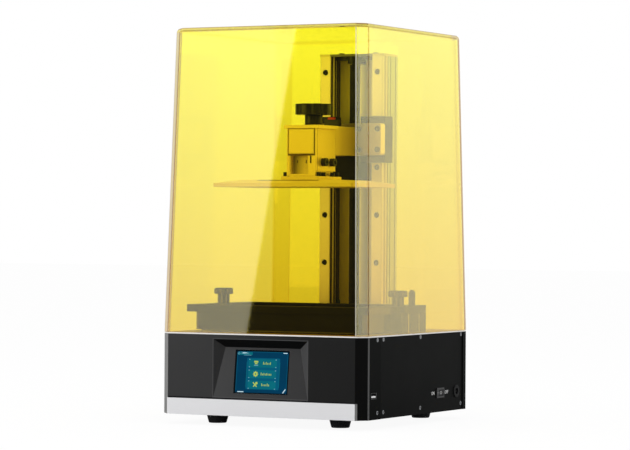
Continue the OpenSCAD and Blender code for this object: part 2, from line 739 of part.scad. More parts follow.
module motor_bracket() color([0.55, 0.56, 0.58]) translate([0, screw_y, 0]) difference() {
    union() {
        box([-bracket_x - 3, -28, motor_top], [bracket_x + 3, 28, motor_top + 3]);
        mirror_x() {
            box([bracket_x, -28, motor_top + 3], [bracket_x + 3, 28, deck_z - deck_t - 3]);
            box([bracket_x, -28, deck_z - deck_t - 3], [bracket_x + 16, 30, deck_z - deck_t]);
        }
    }
    rod(11.2, motor_top - 1, motor_top + 4);
    for (sx = [-1, 1], sy = [-1, 1]) rod(1.7, motor_top - 1, motor_top + 4, sx * motor_hole, sy * motor_hole);
    for (p = column_bolts) rod(2.7, deck_z - deck_t - 4, deck_z, p[0], p[1] - screw_y);
}

module shaft_coupler() color([0.62, 0.63, 0.65]) translate([0, screw_y, motor_top + 4.5]) difference() {
    cylinder(r = 9.5, h = coupler_l);
    translate([0, 0, -1]) cylinder(r = 2.5, h = coupler_l / 2 + 1);
    translate([0, 0, coupler_l / 2]) cylinder(r = journal_d / 2, h = coupler_l);
    for (z = [coupler_l * 0.4, coupler_l * 0.6]) translate([-12, -12, z]) cube([21, 24, 0.8]);
}

thread_z0 = deck_z + 6;
thread_z1 = col_end - 10;

module lead_screw() color([0.3, 0.3, 0.31]) translate([0, screw_y, 0]) {
    rod(journal_d / 2, motor_top + 4.5 + coupler_l / 2, thread_z0);
    rod(screw_d / 2, thread_z0, thread_z1);
    rod(journal_d / 2, thread_z1, col_end - 1.5);
}

low_bear_z = deck_z - 4;
top_bear_d = 16;
top_bear_t = 5;
top_bear_z = col_end - 1.5 - top_bear_t;

module bearing(d, t, z, ring) translate([0, screw_y, z]) difference() {
    cylinder(d = d, h = t);
    translate([0, 0, -1]) cylinder(r = journal_d / 2 + run, h = t + 2);
    for (s = [-0.1, t - 0.7]) translate([0, 0, s]) difference() {
        cylinder(r = d / 2 - ring, h = 0.8);
        translate([0, 0, -1]) cylinder(r = journal_d / 2 + ring * 0.7, h = 3);
    }
}

module screw_bearings() color([0.72, 0.73, 0.75]) {
    bearing(bear_d, bear_t, low_bear_z, 2.4);
    bearing(top_bear_d, top_bear_t, top_bear_z, 1.2);
}

holder_r = 9.6;
holder_h = 9;
ear_t = 4;

// Two holders: a ring in the deck for the lower bearing, one with flat ears under the column's cap
module bearing_block() color([0.1, 0.1, 0.11]) {
    translate([0, screw_y, 0]) difference() {
        union() {
            rod(bear_d / 2 + 3, low_bear_z - 2, deck_z);
            intersection() {
                rod(bear_d / 2 + 5, deck_z, deck_z + 4);
                box([-30, -30, deck_z], [30, screw_front + channel_d - 0.2, deck_z + 5]);
            }
        }
        rod(bear_d / 2, low_bear_z, deck_z + 5);
        rod(bear_d / 2 - 3, low_bear_z - 3, deck_z);
    }
    difference() {
        union() {
            box([-ch_hw + 0.2, screw_y + 2, col_end - ear_t], [ch_hw - 0.2, col_front + channel_d - 0.1, col_end]);
            box([-8, screw_y, col_end - holder_h], [8, col_front + channel_d - 0.1, col_end]);
            rod(holder_r, col_end - holder_h, col_end, 0, screw_y);
        }
        rod(top_bear_d / 2, top_bear_z, col_end + 1, 0, screw_y);
        rod(top_bear_d / 2 - 2, col_end - holder_h - 1, col_end, 0, screw_y);
        for (s = [-1, 1]) rod(1.8, col_end - ear_t - 1, col_end + 1, s * cap_screw_x, cap_screw_y);
    }
}

module column_profile() difference() {
    square_at(-col_w / 2, 0, col_w, col_d);
    square_at(-ch_hw, -1, 2 * ch_hw, channel_d + 1);
    for (s = [-1, 1]) {
        square_at(s * (ch_hw / 2 + 0.7) - ch_hw / 2 + 1.5, channel_d + 3, ch_hw - 3, col_d - channel_d - 6);
        square_at(s * (col_w / 2 - 1) - 1.5, 5, 3, 2.4);
        square_at(s * (col_w / 2 - 1) - 1.5, col_d - 7.4, 3, 2.4);
    }
    for (p = column_bolts) translate([p[0], p[1] - col_front]) circle(r = 2.1);
}

module square_at(x, y, w, h) translate([x, y]) square([w, h]);

module z_column() color([0.72, 0.73, 0.75]) translate([0, col_front, deck_z]) linear_extrude(col_end - deck_z)
    column_profile();

cap_screw_x = 24;
cap_screw_y = col_front + 6;

module column_cap() color([0.1, 0.1, 0.11]) difference() {
    translate([0, (rail_y + col_front + col_d) / 2, col_end]) linear_extrude(cap_t)
        rrect(col_w, col_front + col_d - rail_y, 1.5);
    for (s = [-1, 1]) rod(2.2, col_end - 1, col_top + 1, s * cap_screw_x, cap_screw_y);
}

module drive_screws() color([0.12, 0.12, 0.13]) {
    for (sx = [-1, 1], sy = [-1, 1]) translate([sx * motor_hole, screw_y + sy * motor_hole, motor_top + 3])
        cap_screw(2.75, 3, 1.4, 7);
    for (s = [-1, 1]) translate([s * cap_screw_x, cap_screw_y, col_top]) cap_screw(3.4, 2.2, 1.8, cap_t + 3.8);
    for (p = column_bolts) translate([p[0], p[1], deck_z - deck_t - 3]) mirror([0, 0, 1])
        cap_screw(4.2, 5, 2.1, deck_t + 3 + 14);
}

// Half outline of a rail with waisted flanks, from its foot outwards
rail_half = let(w = rail_w / 2, h = rail_w) [[w, 0], [w, 0.3 * h], [w - 1.7, 0.37 * h], [w - 1.7, 0.6 * h],
    [w, 0.68 * h], [w, h - 0.8], [w - 0.8, h]];
rail_n = floor((col_end - rail_z0 - 16) / rail_pitch) + 1;
rail_screw_z = [for (i = [0:rail_n - 1]) rail_z0 + 17.5 + i * rail_pitch];

// Local Y points from the column's face to the front
module rail_place(s) translate([s * rail_x, col_front, 0]) mirror([0, 1, 0]) children();

module rail(s) difference() {
    rail_place(s) translate([0, 0, rail_z0]) linear_extrude(col_end - rail_z0) polygon(both(rail_half));
    for (z = rail_screw_z) translate([s * rail_x, rail_y, z]) rotate([-90, 0, 0]) {
        translate([0, 0, -1]) cylinder(r = 3.75, h = 6.3);
        cylinder(r = 2.25, h = rail_w + 1);
    }
}

module guide_rails() color([0.8, 0.8, 0.81]) for (s = [-1, 1]) rail(s);

module rail_screws() color([0.12, 0.12, 0.13]) for (s = [-1, 1], z = rail_screw_z)
    translate([s * rail_x, rail_y + 5.3, z]) rotate([90, 0, 0]) cap_screw(3.5, 4, 2, rail_w - 5.3);

sensor_z = deck_z + 14;

module limit_sensor() color([0.08, 0.1, 0.09]) {
    box([-ch_hw, col_front + 1, sensor_z - 4], [-ch_hw + 1.6, col_front + channel_d - 0.5, sensor_z + 22]);
    difference() {
        box([-ch_hw + 1.6, tab_y - 5, sensor_z], [-ch_hw + 8.4, tab_y + 5, sensor_z + 12]);
        box([-ch_hw + 3.4, tab_y - 1.5, sensor_z - 1], [-ch_hw + 9, tab_y + 1.5, sensor_z + 13]);
    }
}

// ---------------------------------------------------------------- carriage and arm

block_half = [[block_w / 2, 4.6], [block_w / 2, block_h - 1.5], [block_w / 2 - 1.5, block_h]];
block_bore = let(w = rail_w / 2, h = rail_w, g = fit) [[w + g, 4], [w + g, 0.3 * h + g],
    [w - 1.7 + g, 0.37 * h + g], [w - 1.7 + g, 0.6 * h - g], [w + g, 0.68 * h - g], [w + g, h + g]];
cap_l = 7;
arm_holes = [for (s = [-1, 1], i = [-1, 1], j = [-1, 1]) [s * rail_x + i * block_pitch / 2, flange_z + j * block_pitch / 2]];

module guide_profile() difference() {
    polygon(both(block_half));
    polygon(both(block_bore));
}

module guide_blocks() color([0.14, 0.14, 0.15]) difference() {
    for (s = [-1, 1]) rail_place(s) translate([0, 0, flange_z - block_l / 2 + cap_l])
        linear_extrude(block_l - 2 * cap_l) guide_profile();
    for (p = arm_holes) translate([p[0], block_y + 9, p[1]]) rotate([90, 0, 0]) cylinder(r = 2.5, h = 20);
}

module guide_end_caps() color([0.1, 0.1, 0.11]) for (s = [-1, 1], z = [-1, 1]) rail_place(s)
    translate([0, 0, flange_z + z * (block_l / 2 - cap_l / 2) - cap_l / 2]) linear_extrude(cap_l) guide_profile();

module arm() color([0.75, 0.76, 0.78]) difference() {
    union() {
        translate([0, block_y, flange_z]) rotate([90, 0, 0]) linear_extrude(flange_t) rrect(flange_w, flange_h, 3);
        box([-bracket_hw, beam_step, beam_z0], [bracket_hw, flange_y, bracket_z1]);
        box([-beam_w / 2, -beam_front, beam_z0], [beam_w / 2, beam_step, beam_z1]);
    }
    box([-beam_w / 2 + 5, beam_step + 8, beam_z0 - 1], [beam_w / 2 - 5, flange_y - 6, beam_z1 - 6]);
    box([-beam_w / 2 + 5, -beam_front + 8, beam_z0 - 1], [beam_w / 2 - 5, -knob_front - 9, beam_z1 - 8]);
    for (p = arm_holes) translate([p[0], flange_y + flange_t + 1, p[1]]) rotate([90, 0, 0]) {
        cylinder(r = 2.7, h = flange_t + 2);
        translate([0, 0, flange_t + 1 - 3]) cylinder(r = 4, h = 5);
    }
    for (s = [-1, 1]) translate([s * 10, block_y + 1, nut_screw_z]) rotate([90, 0, 0]) cylinder(r = 1.9, h = 9);
}

nut_screw_z = flange_z - 12;
tab_y = col_front + channel_d / 2;

module arm_screws() color([0.12, 0.12, 0.13]) {
    for (p = arm_holes) translate([p[0], flange_y + 3, p[1]]) rotate([90, 0, 0]) cap_screw(3.6, 3.4, 2.4, flange_t + 4);
    for (s = [-1, 1]) translate([s * 10, block_y + 14.5, nut_screw_z]) rotate([-90, 0, 0]) cap_screw(3.2, 3, 1.8, 21);
}

module nut_housing() color([0.08, 0.08, 0.09]) difference() {
    union() {
        box([-nut_hw, block_y, nut_z0], [nut_hw, screw_y + 12, nut_z0 + 31]);
        box([-nut_hw, block_y, nut_z0 + 31], [nut_hw, screw_y - 9.5, flange_z + 4]);
        box([-nut_hw - 5.2, tab_y - 0.5, nut_z0 + 2], [-nut_hw + 2, tab_y + 0.5, nut_z0 + 18]);
    }
    rod(screw_d / 2 + 2, nut_z0 - 1, nut_z0 + 40, 0, screw_y);
    for (s = [-1, 1]) translate([s * 10, block_y - 1, nut_screw_z]) rotate([-90, 0, 0]) cylinder(r = 2, h = 40);
    for (s = [-1, 1]) rod(1.7, nut_z0 - 1, nut_z0 + 8, s * 12, screw_y);
    mirror_x() translate([nut_hw, 0, nut_z0]) rotate([0, 45, 0]) cube([3, 200, 3], center = true);
}

module drive_nut() color([0.75, 0.6, 0.3]) {
    translate([0, screw_y, 0]) difference() {
        union() {
            rod(screw_d / 2 + 1.9, nut_z0, nut_z0 + 26);
            intersection() {
                rod(15, nut_z0 - 3, nut_z0);
                box([-15, -10, nut_z0 - 3], [15, 10, nut_z0]);
            }
        }
        rod(screw_d / 2 + run, nut_z0 - 4, nut_z0 + 30);
        for (s = [-1, 1]) rod(1.7, nut_z0 - 4, nut_z0 + 1, s * 12, 0);
    }
}

module height_flag() {
    color([0.1, 0.1, 0.11]) box([-9, 30, bracket_z1], [9, 41, bracket_z1 + 9.2]);
    color([0.75, 0.08, 0.06]) box([-4, 29.4, bracket_z1 + 9.2], [4, 35, bracket_z1 + 12]);
}

// ---------------------------------------------------------------- build platform

slope_side = 30;
slope_front = 20;
slope_rear = 8;
slope_in = 1.5;

// Slab whose top slopes down to its edges, so that resin runs off
module build_plate() color([0.78, 0.79, 0.8]) difference() {
    union() {
        plate(plate_w, plate_d, 3, plate_z, plate_t - plate_rise, 0, work_y);
        convex([for (s = [-1, 1]) each [
            [s * (plate_w / 2 - slope_in), work_y - plate_d / 2 + slope_in, plate_top - plate_rise],
            [s * (plate_w / 2 - slope_in), work_y + plate_d / 2 - slope_in, plate_top - plate_rise],
            [s * (plate_w / 2 - slope_side), work_y - plate_d / 2 + slope_front, plate_top],
            [s * (plate_w / 2 - slope_side), work_y + plate_d / 2 - slope_rear, plate_top]]]);
    }
    for (p = plate_bolts) rod(1.6, plate_z + 2, plate_top + 1, p[0], p[1]);
}

module platform_block() color([0.74, 0.75, 0.77]) difference() {
    union() {
        box([-plate_bolt_x - 3.2, -51, plate_top], [plate_bolt_x + 3.2, 9, block_z0]);
        box([-block_hw, -bracket_front + 2.4, block_z0], [block_hw, 2, beam_z0 - 1.2]);
    }
    box([-block_hw + 3, -bracket_front - 10, block_z0 + 2], [block_hw - 3, -1, beam_z0]);
    for (p = plate_bolts) rod(1.7, plate_top - 1, block_z0 + 1, p[0], p[1]);
    for (y = lev_y) translate([-bracket_hw - 1, y, lev_z]) rotate([0, 90, 0]) cylinder(r = 2.2, h = 2 * bracket_hw + 2);
}

module platform_bracket() color([0.74, 0.75, 0.77]) difference() {
    union() {
        mirror_x() box([bracket_hw - bracket_t, -bracket_front, lev_z - 11],
            [bracket_hw, beam_step - fit, beam_z1 + fit]);
        box([-bracket_hw, -bracket_front, block_z0 + 0.6],
            [bracket_hw, -bracket_front + 1.2, beam_z1 + fit]);
        box([-bracket_hw - 4, -bracket_front - 1, beam_z1 + fit], [bracket_hw + 4, beam_step - fit, bracket_z1]);
    }
    box([-beam_w / 2 - fit, -bracket_front - 0.5, beam_z0 - fit], [beam_w / 2 + fit, 0, beam_z1 + fit]);
    box([-block_hw + 1.6, -bracket_front - 2, block_z0 + 2], [block_hw - 1.6, -bracket_front + 2, beam_z0 - 2]);
    for (y = lev_y) translate([-bracket_hw - 1, y, lev_z]) rotate([0, 90, 0]) cylinder(r = 2.6, h = 2 * bracket_hw + 2);
    rod(5 + run, beam_z1, bracket_z1 + 1, 0, -knob_front);
}

module platform_screws() color([0.1, 0.1, 0.11]) {
    for (p = plate_bolts) translate([p[0], p[1], block_z0]) cap_screw(2.75, 3, 1.5, base_flange_t + 5);
    mirror_x() for (y = lev_y) translate([bracket_hw, y, lev_z]) rotate([0, 90, 0])
        cap_screw(5, 6, 2, bracket_t + 2.5);
}

// Fluted hand knob: head, neck and a stud that ends just over the clamped face
module hand_knob(d, h, neck_d, neck_h, flutes) {
    translate([0, 0, neck_h]) difference() {
        rotate_extrude() polygon([[0, 0], [d / 2 - 1, 0], [d / 2, 1], [d / 2, h - 1.6], [d / 2 - 1.6, h],
            [d * 0.3, h], [d * 0.27, h - 0.8], [0, h - 0.8]]);
        for (i = [0:flutes - 1]) rotate([0, 0, (i + 0.5) * 360 / flutes])
            translate([d * 0.54, 0, -1]) cylinder(r = d * 0.1, h = h + 2);
    }
    cylinder(d = neck_d, h = neck_h);
}

module platform_knob() color([0.07, 0.07, 0.08]) translate([0, -knob_front, bracket_z1 + 0.2]) {
    hand_knob(knob_d, knob_h, knob_neck_d, knob_neck_h, 8);
    rod(5, beam_z1 + fit - bracket_z1, 0);
}

// ---------------------------------------------------------------- vat

post_x = rim_w / 2 - 5.2;
post_y = 17;
post_r = 4.1;
post_h = 16;
ear_r = 10.5;
thumb_y = -thumb_front;
stud_r = 3;

module vat() color([0.07, 0.07, 0.08]) difference() {
    union() {
        plate(rim_w - 2 * rim_over, rim_d - 4, 10, vat_z0, vat_h, 0, vat_y);
        plate(rim_w, rim_d, 3, rim_z0, rim_t, 0, vat_y);
        mirror_x() rod(ear_r, rim_z0, rim_z1, thumb_x, thumb_y);
    }
    plate(bay_w, bay_y1 - bay_y0, 10, vat_z0 + 2.5, vat_h, 0, (bay_y0 + bay_y1) / 2);
    plate(window_w, window_d, 6, vat_z0 - 1, vat_h, 0, work_y);
    mirror_x() rod(stud_r + run, rim_z0 - 1, rim_z1 + 1, thumb_x, thumb_y);
    rod(post_r + 0.5, rim_z0 - 1, rim_z1 + 1, post_x, post_y);
}

module vat_film() color([0.8, 0.85, 0.9]) plate(window_w + 8, window_d + 8, 7, film_z, film_t, 0, work_y);

module film_frame() color([0.6, 0.61, 0.63]) difference() {
    plate(window_w + 14, window_d + 14, 8, film_z + film_t, frame_t, 0, work_y);
    plate(window_w, window_d, 6, film_z, 5, 0, work_y);
}

module thumbscrew() translate([thumb_x, thumb_y, rim_z1 + 0.2]) {
    hand_knob(thumb_d, thumb_h, thumb_neck_d, thumb_neck_h, 8);
    rod(stud_r, -26, 0);
}

module thumbscrew_right() color([0.07, 0.07, 0.08]) thumbscrew();
module thumbscrew_left() color([0.07, 0.07, 0.08]) mirror([1, 0, 0]) thumbscrew();

module vat_brackets() color([0.09, 0.09, 0.1]) {
    x0 = rim_w / 2 - rim_over + fit;
    mirror_x() difference() {
        union() {
            box([x0, thumb_y - 11, deck_z], [thumb_x + 10, thumb_y + 11, rim_z0 - fit]);
            box([x0, thumb_y + 11, deck_z], [rim_w / 2, vat_y + rim_d / 2 - 2, rim_z0 - fit]);
        }
        rod(stud_r + 0.3, deck_z + 3, rim_z0 + 1, thumb_x, thumb_y);
        for (p = bracket_bolts) rod(1.6, deck_z - 1, deck_z + 9, p[0], p[1]);
    }
    rod(post_r, rim_z0 - fit, rim_z1 + post_h, post_x, post_y);
    translate([post_x, post_y, rim_z1 + post_h]) cylinder(r1 = post_r, r2 = 1.8, h = 3);
}

// ---------------------------------------------------------------- cover

lid_z0 = deck_z + lid_gap;

// Solid of the cover: a leaning eight-sided prism with round top edges, inset by i
module lid_form(i, z0, r) {
    x = hw - lid_inset - i;
    y0 = front_y + lid_inset + i;
    y1 = hd - lid_inset - i;
    k = 2 - sqrt(2);
    cf = front_cut - (lid_inset + i) * k;
    cr = rear_cut - (lid_inset + i) * k;
    xt = x - lid_lean_side - r;
    y0t = y0 + lid_lean_front + r;
    y1t = y1 - lid_lean_rear - r;
    cft = cf - r * k;
    crt = cr - r * k;
    foot = [[x - cf, y0], [x, y0 + cf], [x, y1 - cr], [x - cr, y1]];
    top = [[xt - cft, y0t], [xt, y0t + cft], [xt, y1t - crt], [xt - crt, y1t]];
    hull() {
        for (s = [-1, 1], p = foot) translate([s * p[0], p[1], z0]) cylinder(r = 0.01, h = 0.01, $fn = 4);
        for (s = [-1, 1], p = top) translate([s * p[0], p[1], total_h - i - r]) sphere(r, $fn = 24);
    }
}

module lid() color([0.98, 0.85, 0.1, 0.45]) difference() {
    lid_form(0, lid_z0, lid_round);
    lid_form(lid_t, lid_z0 - 0.01, lid_round - lid_t + 1);
}

// ---------------------------------------------------------------- nodes

feet();
foot_screws();
base_pan();
front_fascia();
trim_strip();
side_panel_left();
side_panel_right();
rear_panel();
housing_screws();
deck_plate();
touch_glass();
display_module();
display_board();
usb_socket();
power_switch();
power_rocker();
power_jack();
main_board();
board_parts();
light_housing();
lens_panel();
led_board();
heat_sink();
light_fan_frame();
light_fan_rotor();
exhaust_fan_frame();
exhaust_fan_rotor();
mask_screen();
z_motor();
motor_shaft();
motor_bracket();
shaft_coupler();
lead_screw();
screw_bearings();
bearing_block();
z_column();
column_cap();
drive_screws();
guide_rails();
rail_screws();
limit_sensor();
guide_blocks();
guide_end_caps();
arm();
arm_screws();
nut_housing();
drive_nut();
height_flag();
platform_bracket();
platform_block();
build_plate();
platform_screws();
platform_knob();
vat();
vat_film();
film_frame();
thumbscrew_left();
thumbscrew_right();
vat_brackets();
lid();
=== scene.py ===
from math import atan, cos, pi, radians, sin

import bpy
from mathutils import Matrix, Vector


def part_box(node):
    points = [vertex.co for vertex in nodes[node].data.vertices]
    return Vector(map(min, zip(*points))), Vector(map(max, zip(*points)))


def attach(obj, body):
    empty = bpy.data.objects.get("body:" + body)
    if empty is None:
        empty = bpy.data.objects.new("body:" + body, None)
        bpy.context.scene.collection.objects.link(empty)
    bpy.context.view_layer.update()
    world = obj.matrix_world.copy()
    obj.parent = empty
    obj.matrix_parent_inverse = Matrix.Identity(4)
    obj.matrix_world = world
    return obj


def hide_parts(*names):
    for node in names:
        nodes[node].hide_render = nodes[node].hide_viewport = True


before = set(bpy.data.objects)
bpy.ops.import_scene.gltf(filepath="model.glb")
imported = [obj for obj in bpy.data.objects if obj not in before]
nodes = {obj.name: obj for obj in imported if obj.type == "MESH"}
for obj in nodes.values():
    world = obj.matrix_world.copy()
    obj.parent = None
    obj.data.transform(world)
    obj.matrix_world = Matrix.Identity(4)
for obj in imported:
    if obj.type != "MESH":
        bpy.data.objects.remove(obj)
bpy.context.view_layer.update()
mm = 0.001

# ---------------------------------------------------------------- camera, floor and lamps
# The camera stands in front of the right corner, far off with a long lens, a little over
# the middle of the printer. A pale floor, four soft boxes and an even sky light it.


def begin(operator, **settings):
    """Deselect everything, add a new object with its operator, and return it."""
    bpy.ops.object.select_all(action="DESELECT")
    operator(**settings)
    return bpy.context.object


camera_place = Vector((1.6960, -3.2318, 0.2400))
camera_turn, camera_roll = radians(27.77), radians(-0.3435)
camera = begin(bpy.ops.object.camera_add, location=camera_place,
               rotation=(pi / 2, camera_roll, camera_turn))
camera.data.sensor_width = 36
camera.data.lens = 168.9
camera.data.shift_x = 0.0003
camera.data.shift_y = 0.0014
camera.data.clip_end = 50
bpy.context.scene.camera = camera


def feed(tree, socket, value):
    """Set a socket to a number or a colour, or link it to an output."""
    if isinstance(value, bpy.types.NodeSocket):
        tree.links.new(value, socket)
    else:
        socket.default_value = value


def add(tree, kind, **sockets):
    """Add a shader node and feed its named sockets."""
    made = tree.nodes.new("ShaderNode" + kind)
    for name, value in sockets.items():
        feed(tree, made.inputs[name.replace("_", " ")], value)
    return made


def calc(tree, operation, first, second=0.0, clamp=False):
    """Add a Math node and return its value."""
    made = tree.nodes.new("ShaderNodeMath")
    made.operation = operation
    made.use_clamp = clamp
    feed(tree, made.inputs[0], first)
    feed(tree, made.inputs[1], second)
    return made.outputs[0]


def along(tree, letter, source="Object"):
    """One coordinate of the place on a piece, or of the direction its surface looks in."""
    return add(tree, "SeparateXYZ", Vector=add(tree, "TexCoord").outputs[source]).outputs[letter]


def ramp(tree, value, start, end, low=0.0, high=1.0):
    """A value that goes from low to high while another goes from start to end."""
    made = add(tree, "MapRange", Value=value, From_Min=start, From_Max=end, To_Min=low, To_Max=high)
    return made.outputs[0]


def mixed(tree, share, first, second):
    """Mix two shaders by the share of the second."""
    made = add(tree, "MixShader", Fac=share)
    tree.links.new(first.outputs[0], made.inputs[1])
    tree.links.new(second.outputs[0], made.inputs[2])
    return made


def blank_material(name):
    """A new material with no nodes, and its node tree."""
    material = bpy.data.materials.new(name)
    material.use_nodes = True
    material.node_tree.nodes.clear()
    return material, material.node_tree


def show(tree, shader, output="OutputMaterial"):
    """Link the finished shader to its output."""
    tree.links.new(shader.outputs[0], add(tree, output).inputs["Surface"])


floor_material, tree = blank_material("studio_floor")
paper = add(tree, "BsdfDiffuse", Color=(0.4, 0.4, 0.4, 1))
white = add(tree, "Emission", Color=(1, 1, 1, 1), Strength=1.1)
path = add(tree, "LightPath").outputs
mirrored = calc(tree, "MULTIPLY", path["Is Glossy Ray"], ramp(tree, along(tree, "Y"), 0.0, 0.8))
plain = calc(tree, "ADD", path["Is Camera Ray"], path["Is Transmission Ray"])
share = calc(tree, "MULTIPLY", calc(tree, "ADD", mirrored, plain, clamp=True), 0.85)
show(tree, mixed(tree, share, paper, white))

floor = begin(bpy.ops.mesh.primitive_plane_add, size=24, location=(0, 0, -0.0002))
floor.name = "studio_floor"
floor.data.materials.append(floor_material)

world = bpy.data.worlds.new("studio_world")
world.use_nodes = True
bpy.context.scene.world = world
tree = world.node_tree
tree.nodes.clear()
behind = ramp(tree, along(tree, "Y", "Generated"), -0.1, 0.6)
above = ramp(tree, along(tree, "Z", "Generated"), 0.16, 0.5, 0.0, 0.6)
path = add(tree, "LightPath").outputs
straight = calc(tree, "MAXIMUM", path["Is Camera Ray"], path["Is Transmission Ray"])
level = calc(tree, "MAXIMUM", calc(tree, "MAXIMUM", behind, above), 0.06)
shown = calc(tree, "MAXIMUM", level, straight)
sky = add(tree, "Background", Color=(1, 1, 1, 1), Strength=0.85)
backdrop = add(tree, "Background", Color=(1, 1, 1, 1), Strength=shown)
seen = calc(tree, "ADD", straight, path["Is Glossy Ray"], clamp=True)
show(tree, mixed(tree, seen, sky, backdrop), "OutputWorld")


def soft_box(name, place, aim, width, height, radiance):
    """An area lamp of even radiance."""
    lamp = begin(bpy.ops.object.light_add, type="AREA", location=place, rotation=aim.to_euler())
    lamp.name = name
    lamp.data.shape = "RECTANGLE"
    lamp.data.size = width
    lamp.data.size_y = height
    lamp.data.energy = radiance * pi * width * height
    lamp.visible_camera = False


def aimed_box(name, place, target, width, height, radiance):
    """A soft box aimed at a point."""
    aim = (Vector(target) - Vector(place)).to_track_quat("-Z", "Y")
    soft_box(name, place, aim, width, height, radiance)


printer_middle = Vector((0, -0.15, 0.3))


def strip_box(name, first, second, side, width, stretch, radiance):
    """A soft box with one long edge through two places, spread to one side of that edge."""
    up = (first - second).normalized()
    middle = (first + second) / 2
    across = up.cross(printer_middle - middle).normalized()
    place = middle + across * side * width / 2
    aim = Matrix((-across, up, up.cross(across))).transposed()
    soft_box(name, place, aim, width, (first - second).length * stretch, radiance)


# The shown cover is a little wider and lower than the one of the construction
cover_low, cover_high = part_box("lid")
wider_x, wider_y, lower = 1.1 * mm, 1.0 * mm, 0.7 * mm
cover_low -= Vector((wider_x, wider_y, 0))
cover_high += Vector((wider_x, wider_y, -lower))
lean_side, lean_front, lean_rear = 8 * mm, 11.5 * mm, 8.5 * mm
front_cut, rear_cut = 11.3 * mm, 16.3 * mm
mirror_reach = 2.4


def mirror_spot(place, normal):
    """What the camera sees in a mirror at a place of the printer."""
    ray = (place - camera_place).normalized()
    return place + (ray - 2 * ray.dot(normal) * normal) * mirror_reach


# The left box shows in the cover's front wall as far as a slanted line, the narrow one
# fills the cut corner of the cover at the right, and a dim one behind shows in its right wall
front_normal = Vector((0, -(cover_high.z - cover_low.z), lean_front)).normalized()
line_head = mirror_spot(Vector((0.0366, -0.1371, 0.4555)), front_normal)
line_foot = mirror_spot(Vector((-0.0181, -0.1476, 0.1167)), front_normal)
strip_box("left_soft_box", line_head, line_foot, 1, 1.5, 2.2, 2.95)
corner_foot = Vector((cover_high.x, cover_low.y, cover_low.z))
corner_head = Vector((cover_high.x - lean_side, cover_low.y + lean_front, cover_high.z))
cut_left, cut_right = Vector((-front_cut, 0, 0)), Vector((0, front_cut, 0))
cut_normal = (cut_right - cut_left).cross(corner_head - corner_foot).normalized()
beside_cut = cut_left * 2.3
strip_head = mirror_spot(corner_head + beside_cut, cut_normal)
strip_foot = mirror_spot(corner_foot + beside_cut, cut_normal)
strip_box("right_strip", strip_head, strip_foot, -1, 0.10, 1.3, 3.8)
aimed_box("right_rear_box", (1.27, 2.1, 0.3), (0.137, 0, 0.3), 1.0, 1.5, 0.85)
aimed_box("top_box", (0.3, -0.6, 2.3), (0, 0, 0.3), 1.6, 1.6, 1.6)

bpy.context.scene.view_settings.view_transform = "Standard"

# ---------------------------------------------------------------- rubber feet and floor pan
# Four tapered rubber feet, each held by one zinc plated screw from below, under a folded
# sheet steel pan with a satin powder coat. Boards stand on pillars pressed into the pan.


def tinted(tree, share, first, second):
    """Mix two colours by the share of the second."""
    made = tree.nodes.new("ShaderNodeMix")
    made.data_type = "RGBA"
    for identifier, value in (("Factor_Float", share), ("A_Color", first), ("B_Color", second)):
        feed(tree, next(s for s in made.inputs if s.identifier == identifier), value)
    return next(s for s in made.outputs if s.identifier == "Result_Color")


def shade(colour, times):
    """A colour made lighter or darker, as a shader takes it."""
    return (*[min(1.0, channel * times) for channel in colour], 1.0)


def finish(name, colour, roughness, metal=0.0, grain=0.0005, relief=0.00002, stretch=(1, 1, 1),
           mottle=0.06, wear_and_edge_glint=1.25, edge=0.0005, polish=0.06, specular=0.5, coat=0.0):
    """A worked surface: grain of a given size and relief, faint mottling, and edges lightened by
    wear and a painted highlight.
    """
    material, tree = blank_material(name)
    place = add(tree, "TexCoord").outputs["Object"]
    stretched = add(tree, "Mapping", Vector=place, Scale=stretch).outputs[0]
    fine = add(tree, "TexNoise", Vector=stretched, Scale=1 / grain, Detail=2.0).outputs[0]
    broad = add(tree, "TexNoise", Vector=stretched, Scale=18.0, Detail=3.0).outputs[0]
    rounded = add(tree, "Bevel", Radius=edge)
    rounded.samples = 4
    likeness = tree.nodes.new("ShaderNodeVectorMath")
    likeness.operation = "DOT_PRODUCT"
    feed(tree, likeness.inputs[0], rounded.outputs[0])
    feed(tree, likeness.inputs[1], add(tree, "NewGeometry").outputs["Normal"])
    sharpness = calc(tree, "SUBTRACT", 1.0, likeness.outputs["Value"])
    rim = calc(tree, "MULTIPLY", sharpness, 5.0, clamp=True)
    cloudy = tinted(tree, broad, shade(colour, 1 - mottle), shade(colour, 1 + mottle))
    specks = calc(tree, "MULTIPLY", fine, 0.5)
    speckled = tinted(tree, specks, cloudy, shade(colour, 1 - 2 * mottle))
    # Edges are lightened: partly rubbed wear, partly a painted highlight along them
    final = tinted(tree, rim, speckled, shade(colour, wear_and_edge_glint))
    polished = calc(tree, "MULTIPLY", broad, 2 * polish)
    rough = calc(tree, "ADD", roughness - polish, polished, clamp=True)
    bump = add(tree, "Bump", Height=fine, Normal=rounded.outputs[0], Distance=relief, Strength=0.8)
    show(tree, add(tree, "BsdfPrincipled", Base_Color=final, Roughness=rough, Metallic=metal,
                   Normal=bump.outputs[0], Specular_IOR_Level=specular, Coat_Weight=coat))
    return material


def wear(material, *names):
    """Give CAD nodes a finish."""
    for name in names:
        mesh = nodes[name].data
        mesh.materials.clear()
        mesh.materials.append(material)


rubber = finish("rubber_black", (0.022, 0.022, 0.024), 0.75, grain=0.0004, relief=0.00004, wear_and_edge_glint=1.5)
zinc = finish("steel_zinc", (0.60, 0.61, 0.63), 0.32, metal=1.0, grain=0.0008, wear_and_edge_glint=1.15)
pan_coat = finish("steel_pan", (0.09, 0.093, 0.10), 0.5, grain=0.0009, relief=0.00003)
wear(rubber, "feet")
wear(zinc, "foot_screws", "motor_bracket")
wear(pan_coat, "base_pan")

# ---------------------------------------------------------------- front housing and trim strip
# One moulded plastic front that wraps round both corners, with a fine spark grain, and the
# recess for the touch screen in it. A satin white strip is bonded along its foot.


